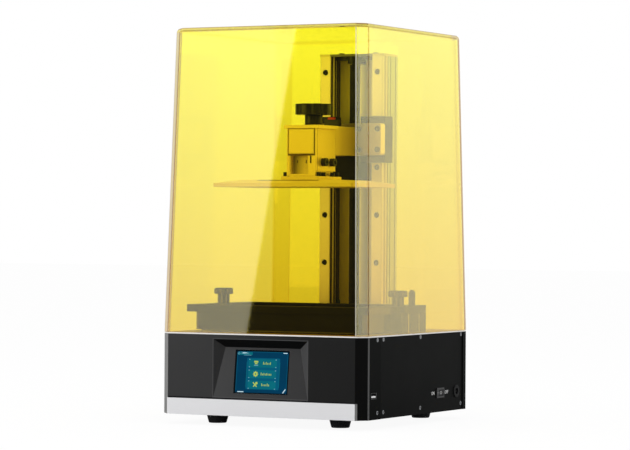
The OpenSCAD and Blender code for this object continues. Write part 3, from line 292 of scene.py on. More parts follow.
def inside(tree, share=None, **limits):
    """A share, or 1, where all limits hold: x, y and z limit the place on the piece, look_x,
    look_y and look_z the direction its surface looks in. None stands for no limit."""
    for name, (low, high) in limits.items():
        value = along(tree, name[-1].upper(), "Normal" if name.startswith("look") else "Object")
        for operation, limit in (("GREATER_THAN", low), ("LESS_THAN", high)):
            if limit is not None:
                passed = calc(tree, operation, value, limit)
                share = passed if share is None else calc(tree, "MULTIPLY", share, passed)
    return share


def overlay(material, colour, specular=None, share=None, **limits):
    """Lay another colour over a finish inside some limits, with its own gloss if given."""
    tree = material.node_tree
    share = inside(tree, share, **limits)
    surface = next(n for n in tree.nodes if n.type == "BSDF_PRINCIPLED")
    base = surface.inputs["Base Color"]
    tree.links.new(tinted(tree, share, base.links[0].from_socket, (*colour, 1)), base)
    if specular is not None:
        gloss = surface.inputs["Specular IOR Level"]
        start = gloss.links[0].from_socket if gloss.links else gloss.default_value
        less = calc(tree, "MULTIPLY", calc(tree, "SUBTRACT", 1.0, share), start)
        tree.links.new(calc(tree, "ADD", less, calc(tree, "MULTIPLY", share, specular)), gloss)


shell = finish("shell_black", (0.018, 0.018, 0.019), 0.46, grain=0.0006, relief=0.000015,
               wear_and_edge_glint=2.2, edge=0.0007, specular=0.35)
fascia_low, fascia_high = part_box("front_fascia")
recess_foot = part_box("trim_strip")[1].z
tree = shell.node_tree
# Painted shade: the front darkens to the right, and the right side and the undersides are dark.
# Painted light: the cut at the left, the slope and right wall of the recess and the right corner's
# line are lighter
shade_to_right = ramp(tree, along(tree, "X"), -0.06, 0.07, 0.0, 0.85)
overlay(shell, (0.003, 0.0032, 0.003), 0.16, shade_to_right, look_y=(None, -0.98))
overlay(shell, (0.003, 0.003, 0.003), 0.08, look_x=(0.5, None))
overlay(shell, (0.004, 0.0045, 0.0042), 0.01, look_x=(0.9, None))
overlay(shell, (0.22, 0.22, 0.22), look_x=(None, -0.5), look_y=(None, -0.5))
overlay(shell, (0.003, 0.003, 0.0032), 0.05, look_z=(None, -0.3))
overlay(shell, (0.055, 0.055, 0.057), look_x=(None, -0.3), x=(45 * mm, None))
overlay(shell, (0.11, 0.11, 0.11), x=(fascia_high.x - 0.8 * mm, None),
        y=(None, fascia_low.y + 14 * mm))
overlay(shell, (0.028, 0.028, 0.029), look_z=(0.05, 0.4), look_y=(None, -0.9))
# A fine painted highlight runs round the recess, over a dark strip above the white one
edge_half, edge_foot, edge_head = 64.9 * mm, recess_foot + 2.0 * mm, recess_foot + 72.9 * mm
inner_half = edge_half - 1.0 * mm
inner_foot, inner_head = edge_foot + 0.9 * mm, edge_head - 0.9 * mm
overlay(shell, (0.005, 0.005, 0.006), 0.1, look_y=(None, -0.98), z=(recess_foot, edge_foot))
outer = inside(tree, x=(-edge_half, edge_half), z=(edge_foot, edge_head))
inner = inside(tree, x=(-inner_half, inner_half), z=(inner_foot, inner_head))
overlay(shell, (0.07, 0.07, 0.072), 0.2, calc(tree, "SUBTRACT", outer, inner),
        y=(None, fascia_low.y + 0.7 * mm))
strip_white = finish("trim_white", (0.84, 0.84, 0.86), 0.4, grain=0.0015, relief=0.000006,
                     mottle=0.015, wear_and_edge_glint=1.05)
# The strip's ends, which face the sides, are painted grey as shade
for end in ((0.5, None), (None, -0.5)):
    overlay(strip_white, (0.20, 0.20, 0.20), look_x=end)
wear(shell, "front_fascia")
wear(strip_white, "trim_strip")

# ---------------------------------------------------------------- side and rear panels
# Folded sheet with a fine black powder coat, held to the pan and the deck by small screws
# with flat heads.

panel_coat = finish("panel_black", (0.005, 0.0055, 0.0052), 0.6, grain=0.0007, relief=0.00003,
                    wear_and_edge_glint=2.6, edge=0.0006, specular=0.03)
screw_zinc = finish("panel_screw", (0.26, 0.27, 0.28), 0.42, metal=1.0, grain=0.0006, wear_and_edge_glint=1.2)
wear(panel_coat, "side_panel_left", "side_panel_right", "rear_panel")
wear(screw_zinc, "housing_screws")

# ---------------------------------------------------------------- deck
# A flat sheet with light paint, which closes the housing and carries the column and the vat.
# Under the cover it is painted brown, as painted shade and the cover's tinted light. Its light edge
# shows all round outside.

deck_paint = finish("deck_paint", (0.97, 0.95, 0.90), 0.4, grain=0.0012, relief=0.00001,
                    mottle=0.02, wear_and_edge_glint=1.1)
# Painted shade and tinted light on the deck where the cover stands over it
shaded_half, shade_edge = cover_high.x - 2 * mm, 2 * mm
overlay(deck_paint, (0.40, 0.25, 0.11), 0.1, look_z=(0.9, None), x=(-shaded_half, shaded_half),
        y=(cover_low.y + shade_edge, cover_high.y - shade_edge))
wear(deck_paint, "deck_plate")

# ---------------------------------------------------------------- touch screen
# A pane of black glass set flush in the slope of the recess, with its lit picture behind
# it: a start page with three rows, each with an icon and a bar in place of a word.

recess_depth, recess_rise = 7, 62.6
slope = atan(recess_depth / recess_rise)
glass_low, glass_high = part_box("touch_glass")
glass_height, glass_foot = 52 * mm, 8 * mm
slope_frame = Matrix.Translation((0, fascia_low.y, recess_foot)) @ Matrix.Rotation(-slope, 4, "X")
layer = 0.04 * mm
shapes = []


def settle(piece, body, slot, *materials):
    """Apply a new piece's place, give it its materials, and set it on the body that carries it."""
    bpy.ops.object.select_all(action="DESELECT")
    piece.select_set(True)
    bpy.context.view_layer.objects.active = piece
    bpy.ops.object.transform_apply()
    if materials:
        piece.data.materials.clear()
        for material in materials:
            piece.data.materials.append(material)
    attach(piece, body)


def join(name, parts):
    """Join finished parts into one named piece, each keeping its own material."""
    bpy.ops.object.select_all(action="DESELECT")
    for part in parts:
        part.select_set(True)
    bpy.context.view_layer.objects.active = parts[0]
    bpy.ops.object.join()
    parts[0].name = name
    parts[0].data.name = name
    return parts[0]


def round_off(size, segments, affect="EDGES"):
    """Bevel all edges, or all corners, of the piece in hand."""
    bpy.ops.object.mode_set(mode="EDIT")
    bpy.ops.mesh.select_all(action="SELECT")
    bpy.ops.mesh.bevel(offset=size, segments=segments, affect=affect)
    bpy.ops.object.mode_set(mode="OBJECT")


def lit(name, colour, dim, strength=1.0):
    """A lit area of the screen under clear glass, from dim to full colour over its picture."""
    material, tree = blank_material(name)
    place = add(tree, "TexCoord").outputs["Object"]
    cloud = add(tree, "TexNoise", Vector=place, Scale=50.0, Detail=2.0).outputs[0]
    glow = tinted(tree, cloud, (*dim, 1), (*colour, 1))
    show(tree, add(tree, "BsdfPrincipled", Base_Color=(0.001, 0.001, 0.001, 1), Roughness=0.5,
                   Specular_IOR_Level=0.0, Emission_Color=glow, Emission_Strength=strength))
    return material


def lay(shape, x, z, level, glow):
    """Lay a flat shape of the picture on the slope, x and z in mm from the glass's middle."""
    place = (x * mm, -level * layer, glass_foot + glass_height / 2 + z * mm)
    shape.data.transform(slope_frame @ Matrix.Translation(place))
    shape.data.materials.append(glow)
    shapes.append(shape)


def tile(width, height, x, z, level, glow, corner=0.0, turn=0.0):
    """A flat bar of the picture, in mm, with round corners and turned if asked."""
    shape = begin(bpy.ops.mesh.primitive_plane_add, size=1, rotation=(pi / 2, 0, 0))
    shape.scale = (width * mm, height * mm, 1)
    bpy.ops.object.transform_apply()
    if corner:
        round_off(corner * mm, 3, "VERTICES")
    shape.data.transform(Matrix.Rotation(turn, 4, "Y"))
    lay(shape, x, z, level, glow)


def ring(radius, inner, x, z, level, glow, corners=20):
    """A flat ring of the picture, in mm."""
    shape = begin(bpy.ops.mesh.primitive_circle_add, vertices=corners, radius=radius * mm,
                  fill_type="NGON", rotation=(pi / 2, 0, 0))
    bpy.ops.object.transform_apply()
    bpy.ops.object.mode_set(mode="EDIT")
    bpy.ops.mesh.select_all(action="SELECT")
    bpy.ops.mesh.inset(thickness=(radius - inner) * mm, depth=0)
    bpy.ops.mesh.delete(type="FACE")
    bpy.ops.object.mode_set(mode="OBJECT")
    lay(shape, x, z, level, glow)


glass_black = finish("touch_glass", (0.004, 0.008, 0.011), 0.08, grain=0.004, relief=0.0,
                     wear_and_edge_glint=1.3, polish=0.02, specular=0.0)
wear(glass_black, "touch_glass")
page = lit("screen_page", (0.0008, 0.046, 0.110), (0.0008, 0.036, 0.080))
panel = lit("screen_panel", (0.002, 0.115, 0.195), (0.002, 0.075, 0.150))
row = lit("screen_row", (0.003, 0.160, 0.215), (0.003, 0.120, 0.150))
icon = lit("screen_icon", (0.52, 0.62, 0.09), (0.36, 0.50, 0.12))
line = lit("screen_line", (0.24, 0.52, 0.62), (0.10, 0.32, 0.42), 0.9)
bright = lit("screen_bright", (0.62, 0.82, 0.90), (0.50, 0.72, 0.82))
page_x, row_x, icon_x = 0.5, 1.2, -7.7
row_heights = top_row, middle_row, low_row = 10.5, -2.4, -15.2
tile((glass_high.x - glass_low.x) / mm - 3.4, glass_height / mm - 3.0, page_x, -0.3, 1, page, 1.0)
tile(44.6, 37.6, 2.1, -2, 2, panel, 1)
for z in row_heights:
    tile(38, 9.8, row_x, z, 3, row, 0.8)
    for side in (-1, 1):
        for end in (-1, 1):
            tile(1.5, 0.9, row_x + side * 17.9, z + end * 4.5, 4, line)
# A title bar at the upper left, marks in the other corners and a faint frame
for width, height, x, z, turn, glow in (
        (20, 3.4, -23.2, 21.8, 0, row), (11, 2.0, -23.5, 22.4, 0, line),
        (6, 1.2, -24.0, 22.6, 0, bright), (5.6, 0.9, 31.2, 23.2, 0, bright),
        (8.4, 1.0, -27.0, -24.0, 0, bright), (6.0, 1.1, 32.0, -21.9, 52, bright),
        (3.0, 2.6, -31.8, 21.8, -40, line), (10, 0.5, -20, 19.9, 0, line)):
    tile(width, height, x, z, 5, glow, 0.3, -radians(turn))
for width, height, x, z, glow in (
        (0.6, 44, -33.6, 0, panel), (0.6, 44, 34.6, 0, panel), (0.7, 30, -20.2, -3, row),
        (0.7, 30, 24.4, -3, row), (66, 0.6, page_x, 24.0, panel)):
    tile(width, height, x, z, 4, glow)
# Icons: a page under a bar, a gear and a crossed pair of tools; small bars stand for words
tile(5.4, 2.2, icon_x, top_row + 1.8, 6, icon, 0.4)
tile(3.4, 1.4, icon_x, top_row - 0.5, 6, icon)
tile(5.6, 0.9, icon_x, top_row - 2.5, 6, line, 0.3)
ring(2.6, 1.0, icon_x, middle_row, 6, icon)
for tooth in range(8):
    angle = tooth * pi / 4
    tile(1.1, 1.2, icon_x + 2.8 * sin(angle), middle_row + 2.8 * cos(angle), 6, icon, 0, angle)
for turn in (-1, 1):
    tile(1.3, 6.4, icon_x, low_row, 6, icon, 0.3, turn * pi / 4)
ring(1.6, 0.6, icon_x + 1.9, low_row + 1.9, 7, icon, 12)
tile(2.4, 1.3, icon_x - 1.9, low_row + 1.9, 7, icon, 0, pi / 4)
for z, word_x, strokes in ((top_row, 2.2, (3.4, 2.2, 3.2, 2.2, 2.2, 3.0)),
                           (middle_row, -0.2, (3.4, 2.2, 3.0, 2.2, 3.0, 2.2, 2.2, 2.2)),
                           (low_row, 1.4, (3.4, 2.2, 2.2, 2.2, 3.4, 2.2))):
    for place, tall in enumerate(strokes):
        tile(0.85, tall, word_x + place * 1.9, z + (tall - 2.8) / 2, 6, icon, 0.35)
settle(join("screen_picture", shapes), "base", "touch_glass")

module_steel = finish("module_grey", (0.48, 0.49, 0.51), 0.35, metal=1.0, grain=0.0006,
                      stretch=(1, 1, 14))
mask_green = finish("circuit_green", (0.015, 0.13, 0.06), 0.35, grain=0.0020, relief=0.00003,
                    mottle=0.2, wear_and_edge_glint=1.6, coat=0.3)
wear(module_steel, "display_module")
wear(mask_green, "display_board", "main_board")

# ---------------------------------------------------------------- ports on the right side
# A nickel plated USB socket near the front, a snap-in rocker switch and a round power jack
# with a centre pin near the back. The switch has ON and OFF printed on both sides of it.

dark_plastic = finish("plastic_dark", (0.035, 0.035, 0.038), 0.42, grain=0.0004, wear_and_edge_glint=1.8)
black_plastic = finish("plastic_black", (0.010, 0.010, 0.011), 0.42, grain=0.0004, wear_and_edge_glint=1.8,
                       specular=0.25)
ink_white = finish("print_white", (0.90, 0.90, 0.90), 0.55, grain=0.0004, relief=0.0,
                   mottle=0.05, wear_and_edge_glint=1.0)
socket_steel = finish("usb_steel", (0.30, 0.31, 0.32), 0.35, metal=1.0, grain=0.0007)
# The socket's outward face is painted dark as shade
overlay(socket_steel, (0.02, 0.02, 0.02), look_x=(0.9, None))
wear(socket_steel, "usb_socket")
wear(black_plastic, "power_switch", "power_jack")


def block(name, low, high, rounding, material, body, slot):
    """A rectangular piece between two corners, with its edges broken."""
    piece = begin(bpy.ops.mesh.primitive_cube_add, size=1)
    piece.name = name
    piece.scale = high - low
    piece.location = (low + high) / 2
    bpy.ops.object.transform_apply()
    round_off(rounding, 2)
    settle(piece, body, slot, material)


usb_low, usb_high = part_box("usb_socket")
tongue_half = Vector((5, 10.8, 2.2)) * mm / 2
tongue = Vector((usb_high.x - 2.7 * mm, (usb_low.y + usb_high.y) / 2, usb_high.z - 4.6 * mm))
block("usb_tongue", tongue - tongue_half, tongue + tongue_half, 0.3 * mm, ink_white,
      "base", "trim_white")

switch_low, switch_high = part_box("power_switch")
print_size, print_height = 5.6 * mm, 0.03 * mm
label_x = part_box("side_panel_right")[1].x + print_height
for name, word, y in (("mark_on", "ON", switch_low.y - 9 * mm),
                      ("mark_off", "OFF", switch_high.y + 8.5 * mm)):
    label = begin(bpy.ops.object.text_add)
    label.data.body = word
    label.data.size = print_size
    label.data.align_x = "CENTER"
    label.data.align_y = "CENTER"
    label.data.offset = 0.012 * print_size
    label.data.extrude = 0.02 * mm
    bpy.ops.object.convert(target="MESH")
    label.name = name
    label.rotation_euler = (pi / 2, 0, pi / 2)
    label.location = (label_x, y, (switch_low.z + switch_high.z) / 2)
    settle(label, "base", "trim_white", ink_white)

# The rocker carries a printed line and ring. The jack's outward face is painted dark as shade, so
# only its rim catches light
rocker_plastic = finish("rocker_plastic", (0.014, 0.014, 0.015), 0.40, grain=0.0004, wear_and_edge_glint=1.8,
                        specular=0.25)
print_grey = (0.45, 0.45, 0.45)
rocker_low, rocker_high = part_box("power_rocker")
rocker = (rocker_low + rocker_high) / 2
overlay(rocker_plastic, print_grey, y=(rocker.y - 5.4 * mm, rocker.y - 2.4 * mm),
        z=(rocker.z - 0.5 * mm, rocker.z + 0.5 * mm))
tree = rocker_plastic.node_tree
squares = []
for letter, centre in (("Y", rocker.y + 3.6 * mm), ("Z", rocker.z)):
    away = calc(tree, "SUBTRACT", along(tree, letter), centre)
    squares.append(calc(tree, "MULTIPLY", away, away))
radius = calc(tree, "SQRT", calc(tree, "ADD", *squares))
ring_print = calc(tree, "MULTIPLY", calc(tree, "GREATER_THAN", radius, 1.2 * mm),
                  calc(tree, "LESS_THAN", radius, 2.0 * mm))
overlay(rocker_plastic, print_grey, share=ring_print)
wear(rocker_plastic, "power_rocker")
jack_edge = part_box("power_jack")[0].y - 1 * mm
overlay(black_plastic, (0.006, 0.006, 0.006), 0.04, look_x=(0.9, None), y=(jack_edge, None))

# ---------------------------------------------------------------- control board
# A green board on four pillars beside the light box, with its chips, driver modules,
# capacitors and sockets.

parts_plastic = finish("component_black", (0.02, 0.02, 0.022), 0.5, grain=0.0006, wear_and_edge_glint=1.6)
wear(parts_plastic, "board_parts")

# ---------------------------------------------------------------- light box
# A tapered moulded housing under the mask screen, with a board of white LEDs below, a clear
# lens panel on top, and a finned heat sink with its fan. A second fan draws air out behind.

lamp_white = finish("circuit_white", (0.75, 0.75, 0.73), 0.35, grain=0.002, mottle=0.05,
                    wear_and_edge_glint=1.1, coat=0.2)
raw_aluminium = finish("aluminium_raw", (0.76, 0.77, 0.79), 0.36, metal=1.0, grain=0.0006,
                       stretch=(14, 1, 1))
wear(black_plastic, "light_fan_frame", "exhaust_fan_frame")
wear(dark_plastic, "light_housing", "light_fan_rotor", "exhaust_fan_rotor")
wear(lamp_white, "led_board")
wear(raw_aluminium, "heat_sink", "shaft_coupler")

lens_material, tree = blank_material("lens_clear")
place = add(tree, "TexCoord").outputs["Object"]
cells = add(tree, "TexVoronoi", Vector=place, Scale=70.0, Randomness=0.0)
dome = add(tree, "Bump", Height=cells.outputs["Distance"], Distance=0.001, Strength=0.6)
show(tree, add(tree, "BsdfPrincipled", Base_Color=(0.9, 0.95, 1.0, 1), Roughness=0.08,
               Normal=dome.outputs[0], Transmission_Weight=0.9, IOR=1.49))
wear(lens_material, "lens_panel")

# ---------------------------------------------------------------- mask screen
# The black glass of the exposure screen under the vat. It is bonded flush into the deck,
# and light from the box below comes through it.

mask_black = finish("mask_glass", (0.006, 0.006, 0.008), 0.07, grain=0.005, relief=0.0,
                    wear_and_edge_glint=1.4, polish=0.02)
wear(mask_black, "mask_screen")

# ---------------------------------------------------------------- vertical drive
# A stepper motor hangs under the deck. Through a split coupler it turns a rolled lead screw
# with four starts, which runs in a ball bearing at each end.

motor_paint = finish("motor_black", (0.03, 0.03, 0.033), 0.4, stretch=(1, 1, 10), wear_and_edge_glint=1.8)
# The steel's warm colour is painted light: the yellow of the light through the cover
ground_steel = finish("steel_ground", (0.92, 0.78, 0.58), 0.36, metal=0.55, stretch=(1, 1, 0.05))
deck_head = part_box("deck_plate")[1].z
# The inner side of the left rail is painted dark as shade
overlay(ground_steel, (0.05, 0.045, 0.03), look_x=(0.9, None), x=(None, 0.0), z=(deck_head, None))
screw_steel = finish("screw_dark", (0.05, 0.048, 0.046), 0.36, metal=0.8, wear_and_edge_glint=1.6)
black_oxide = finish("steel_black", (0.022, 0.022, 0.023), 0.42, metal=0.5, wear_and_edge_glint=1.8)
wear(motor_paint, "z_motor")
wear(ground_steel, "motor_shaft", "guide_rails", "screw_bearings")
wear(black_oxide, "bearing_block", "drive_screws", "rail_screws", "arm_screws", "platform_screws")

screw_low, screw_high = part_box("lead_screw")
column_low, column_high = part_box("z_column")
screw_x, screw_y = (screw_low.x + screw_high.x) / 2, (screw_low.y + screw_high.y) / 2
thread_radius, journal_radius = (screw_high.x - screw_low.x) / 2, 4 * mm
thread_foot, thread_head = column_low.z + 6 * mm, column_high.z - 10 * mm
lead, starts, thread_depth = 8 * mm, 4, 1.1 * mm
sides_of_start = 6
near = 0.01 * mm


def pick(kind, test):
    """In edit mode: select only the vertices, edges or faces whose corners pass the test."""
    bpy.ops.mesh.select_mode(type=kind)
    bpy.ops.mesh.select_all(action="DESELECT")
    bpy.ops.object.mode_set(mode="OBJECT")
    mesh = bpy.context.object.data
    for part in {"VERT": mesh.vertices, "EDGE": mesh.edges, "FACE": mesh.polygons}[kind]:
        numbers = [part.index] if kind == "VERT" else part.vertices
        part.select = test([mesh.vertices[number].co for number in numbers])
    bpy.ops.object.mode_set(mode="EDIT")


def shaped(piece, kind, **settings):
    """Put a modifier on the piece in hand and apply it."""
    modifier = piece.modifiers.new(kind.lower(), kind)
    for name, value in settings.items():
        setattr(modifier, name, value)
    bpy.ops.object.modifier_apply(modifier=modifier.name)


def rod(radius, foot, head, x, y, sides):
    """A plain round bar along Z."""
    piece = begin(bpy.ops.mesh.primitive_cylinder_add, vertices=sides, radius=radius,
                  depth=head - foot, location=(x, y, (foot + head) / 2))
    bpy.ops.object.transform_apply()
    return piece


def break_edges(piece, chamfer, segments=2, sharp=50):
    """Break the sharp edges of the piece in hand and smooth the rest."""
    shaped(piece, "BEVEL", width=chamfer, segments=segments, limit_method="ANGLE",
           angle_limit=radians(sharp))
    bpy.ops.object.shade_smooth_by_angle(angle=radians(35))
    return piece


def bar(radius, foot, head, x, y, sides=32, chamfer=0.5 * mm):
    """A turned round bar along Z with broken edges."""
    return break_edges(rod(radius, foot, head, x, y, sides), chamfer)


# The thread is a lobed section, turned and lifted: three of each six corners lie in a groove
rolled = begin(bpy.ops.mesh.primitive_circle_add, vertices=starts * sides_of_start,
               radius=thread_radius)
bpy.ops.object.mode_set(mode="EDIT")
for share, inner in ((1, 0.35), (2, 1.0), (3, 1.0), (4, 0.35)):
    turns = [2 * pi * (start + share / sides_of_start) / starts for start in range(starts)]
    corners = [Vector((-sin(turn), cos(turn))) * thread_radius for turn in turns]
    pick("VERT", lambda ends: any((ends[0].xy - corner).length < near for corner in corners))
    small = 1 - inner * thread_depth / thread_radius
    bpy.ops.transform.resize(value=(small, small, 1), center_override=(0, 0, 0))
bpy.ops.object.mode_set(mode="OBJECT")
windings = int((thread_head - thread_foot) / lead)
shaped(rolled, "SCREW", axis="Z", steps=12, render_steps=12, iterations=windings,
       screw_offset=(thread_head - thread_foot) / windings, use_merge_vertices=False,
       use_normal_calculate=True, use_smooth_shade=True)
rolled.location = (screw_x, screw_y, thread_foot)
bpy.ops.object.transform_apply()
clear, overlap = 0.02 * mm, 0.2 * mm
core = bar(thread_radius - thread_depth - clear, thread_foot - overlap, thread_head + overlap,
           screw_x, screw_y)
journals = bar(journal_radius, screw_low.z, screw_high.z, screw_x, screw_y)
threaded_screw = join("threaded_screw", [rolled, core, journals])
settle(threaded_screw, "lead_screw", "screw_dark", screw_steel)
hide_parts("lead_screw")

# ---------------------------------------------------------------- column, rails and sensor
# An extruded aluminium column with an open channel for the screw, and on its edges two
# ground profile rails with their row of screws. A plate closes the top.

column_grey = finish("aluminium_satin", (0.62, 0.63, 0.65), 0.40, metal=0.5,
                     stretch=(1, 1, 0.04), wear_and_edge_glint=1.15)
cap_grey = finish("cap_grey", (0.16, 0.155, 0.15), 0.4, metal=0.5, wear_and_edge_glint=1.4)
sensor_green = finish("circuit_dark", (0.02, 0.045, 0.03), 0.4, grain=0.001, wear_and_edge_glint=1.6)
# Painted light and shade: the floor of the channel is painted bright and warm, and its left wall
# dark
channel_half = 30 * mm
overlay(column_grey, (1.0, 0.84, 0.48), look_y=(None, -0.9), x=(-channel_half, channel_half))
overlay(column_grey, (0.04, 0.036, 0.025), look_x=(0.9, None), x=(-channel_half, channel_half))
# Past the channel the cap is painted light and warm, as lit through the cover
for end in ((channel_half, None), (None, -channel_half)):
    overlay(cap_grey, (0.80, 0.66, 0.42), x=end)
wear(column_grey, "z_column")
wear(cap_grey, "column_cap")
wear(sensor_green, "limit_sensor")

# ---------------------------------------------------------------- carriage and arm
# Two ball guide blocks with plastic end caps carry a machined, bead blasted arm. Behind it a
# black housing holds the brass nut. A small block with a red tip marks the height.

block_steel = finish("block_black", (0.006, 0.006, 0.0065), 0.45, metal=0.1, wear_and_edge_glint=1.8,
                     specular=0.12)
# Its warm colour is painted light: the yellow of the light through the cover
blasted = finish("blasted_aluminium", (1.0, 0.77, 0.40), 0.42, metal=0.6, grain=0.0004,
                 mottle=0.03, wear_and_edge_glint=1.2)
brass = finish("brass_nut", (0.72, 0.50, 0.20), 0.3, metal=1.0, grain=0.0007, stretch=(1, 1, 8))
flag_red = finish("flag_red", (0.55, 0.02, 0.015), 0.4, grain=0.0006)
tip_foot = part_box("height_flag")[0].z + 9.25 * mm
overlay(flag_red, (0.012, 0.012, 0.013), z=(None, tip_foot))
wear(flag_red, "height_flag")
wear(block_steel, "guide_blocks", "nut_housing")
wear(black_plastic, "guide_end_caps")
# The flange is painted dark as the shade of the beam, clearing towards its ends
tree = blasted.node_tree
outward = ramp(tree, calc(tree, "ABSOLUTE", along(tree, "X")), 22 * mm, 56 * mm, 0.95, 0.30)
flange_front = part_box("arm")[1].y - 14 * mm
overlay(blasted, (0.12, 0.10, 0.07), share=outward, look_y=(None, -0.9), y=(flange_front, None))
wear(blasted, "arm")
wear(brass, "drive_nut")

# ---------------------------------------------------------------- build platform
# A sheet bracket hangs on the arm and clamps on it with a hand knob. It holds a block with
# four levelling screws, and under it the thick build plate with its sanded face.

bracket_low, bracket_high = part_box("platform_bracket")
block_low, block_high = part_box("platform_block")
plate_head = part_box("build_plate")[1].z
half, front_y = bracket_high.x - 4 * mm, bracket_low.y + 1 * mm
window_left, window_right = -14.9 * mm, 9.2 * mm
window_foot, window_head = bracket_low.z + 2.2 * mm, block_high.z - 0.8 * mm
cover_foot, cover_head = window_head + 2.4 * mm, bracket_high.z - 5.4 * mm
# Its warm colour is painted light: the yellow of the light through the cover
plate_metal = finish("plate_aluminium", (0.98, 0.77, 0.46), 0.5, metal=0.4, relief=0.00003,
                     mottle=0.03, wear_and_edge_glint=1.15)
# A painted shadow of the block darkens the top of the plate round it
overlay(plate_metal, (0.30, 0.21, 0.05), look_z=(0.5, None), x=(-42 * mm, 42 * mm),
        z=(plate_head - 1.3 * mm, None))
# Its warm colour is painted light: the yellow of the light through the cover
bracket_metal = finish("bracket_metal", (1.0, 0.77, 0.40), 0.42, metal=0.6, grain=0.0004,
                       mottle=0.03, wear_and_edge_glint=1.2)
# Painted shadow lies in the seams round the cover plate and at the side
seam_shadow = (0.13, 0.08, 0.012)
overlay(bracket_metal, seam_shadow, look_y=(None, -0.9), y=(None, front_y + 1 * mm),
        z=(window_head, bracket_high.z - 4.0 * mm), x=(1.3 * mm - half, half - 0.8 * mm))
overlay(bracket_metal, seam_shadow, look_x=(0.9, None), y=(front_y + 4.6 * mm, front_y + 5.3 * mm),
        z=(None, bracket_high.z - 4.2 * mm))
# The cover plate stands a little proud of the seam round it
block("bracket_cover", Vector((2.8 * mm - half, front_y - 0.8 * mm, cover_foot)),
      Vector((half - 2.0 * mm, front_y + 0.4 * mm, cover_head)), 0.35 * mm, blasted,
      "platform", "aluminium_satin")

# The front of the block is a frame with a deep window, and a slotted cheek at its right
# Its warm colour is painted light: the yellow of the light through the cover
tray_metal = finish("tray_metal", (1.0, 0.78, 0.44), 0.5, metal=0.15, grain=0.0004, mottle=0.03)
# The window's back is painted darker towards the left, as shade
tree = tray_metal.node_tree
window_shade = ramp(tree, along(tree, "X"), -13 * mm, 1 * mm, 0.85, 0.15)
overlay(tray_metal, (0.16, 0.13, 0.03), share=window_shade)
sheet = Vector((0, front_y + 0.2 * mm, 0))
low_z, deep = window_foot - 1 * mm, 8 * mm
outer_left, outer_right = window_left - 1.2 * mm, window_right + 1 * mm
for name, metal, rounding, low, high in (
        ("window_back", tray_metal, 0.2,
         (window_left - 1 * mm, 7 * mm, low_z), (outer_right, deep, window_head)),
        ("window_left", bracket_metal, 0.2,
         (outer_left, 0, low_z), (window_left, deep, window_head)),
        ("window_sill", bracket_metal, 0.2,
         (outer_left, 0, window_foot - 1.4 * mm), (outer_right, deep, window_foot)),
        ("window_cheek", bracket_metal, 0.25,
         (window_right, 0, low_z), (half - 3.0 * mm, 1.6 * mm, window_head))):
    block(name, sheet + Vector(low), sheet + Vector(high), rounding * mm, metal,
          "platform", "aluminium_satin")
# Dark tiles stand for the shade inside slots
for name, x, y, z, wide, tall in (
        ("cheek_slot", 13.2, 0.0, 13.0, 2.2, 9.2), ("back_slot_left", -8.6, 7.0, 13.5, 1.3, 3.4),
        ("back_slot_right", 3.4, 7.0, 13.0, 1.4, 4.2)):
    low = sheet + Vector((0, 0, window_foot)) + Vector((x - wide / 2, y - 0.1, z)) * mm
    block(name, low, low + Vector((wide, 0.5, tall)) * mm, 0.2 * mm, black_oxide,
          "platform", "steel_black")
# Socket heads of the plate's bolts
heads = [bar(2.9 * mm, block_low.z + 4 * mm, block_low.z + 10 * mm,
             side * (half + 3.1 * mm), y * mm, 24) for side in (-1, 1) for y in (-45, -33, -9, 3)]
settle(join("bolt_heads", heads), "platform", "steel_black", black_oxide)
thumb_plastic = finish("thumb_black", (0.008, 0.008, 0.0085), 0.34, relief=0.00003, wear_and_edge_glint=1.7,
                       specular=0.12)
# Painted highlights: light stripes round the heads stand for light on flutes
tree = thumb_plastic.node_tree
around = calc(tree, "ARCTAN2", along(tree, "Y", "Normal"), along(tree, "X", "Normal"))
wave = calc(tree, "SINE", calc(tree, "MULTIPLY", around, 8.0))
ridge_highlights = calc(tree, "GREATER_THAN", wave, 0.55)
overlay(thumb_plastic, (0.20, 0.15, 0.06), share=ridge_highlights, look_z=(-0.5, 0.5))
wear(plate_metal, "build_plate")
wear(bracket_metal, "platform_bracket")
wear(blasted, "platform_block")
wear(thumb_plastic, "thumbscrew_left", "thumbscrew_right")

# The big hand knob: a round head with eight flutes on a plain neck
knob_plastic = finish("knob_black", (0.008, 0.008, 0.0085), 0.34, relief=0.00003, wear_and_edge_glint=1.7,
                      specular=0.4)
knob_low, knob_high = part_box("platform_knob")
knob_y = (knob_low.y + knob_high.y) / 2
knob_radius, neck_radius, stud_radius, flute_radius = 22.8 * mm, 11.0 * mm, 4.8 * mm, 4.6 * mm
flute_reach, flute_count = knob_radius + 2.0 * mm, 8
head_foot, head_top = knob_high.z - 13.4 * mm, knob_high.z - 0.2 * mm
cutters = []
for flute in range(flute_count):
    turn = flute * 2 * pi / flute_count + 0.3
    cutters.append(rod(flute_radius, head_foot - 1 * mm, head_top + 1 * mm,
                       flute_reach * cos(turn), knob_y + flute_reach * sin(turn), 28))
flutes = join("knob_flutes", cutters)
knob_head = rod(knob_radius, head_foot, head_top, 0, knob_y, 96)
shaped(knob_head, "BOOLEAN", operation="DIFFERENCE", solver="EXACT", object=flutes)
bpy.data.objects.remove(flutes)
break_edges(knob_head, 1.0 * mm, 3, 40)
neck = bar(neck_radius, knob_low.z + 4.6 * mm, head_foot + 0.2 * mm, 0, knob_y, 48, 0.8 * mm)
knob_stud = bar(stud_radius, knob_low.z, knob_low.z + 5 * mm, 0, knob_y)
hand_knob = join("hand_knob", [knob_head, neck, knob_stud])
settle(hand_knob, "knob", "knob_black", knob_plastic)
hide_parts("platform_knob")

# ---------------------------------------------------------------- vat
# A moulded vat whose floor is a clear film stretched under a steel frame. It drops over a
# post and is held down by two thumbscrews in brackets on the deck.

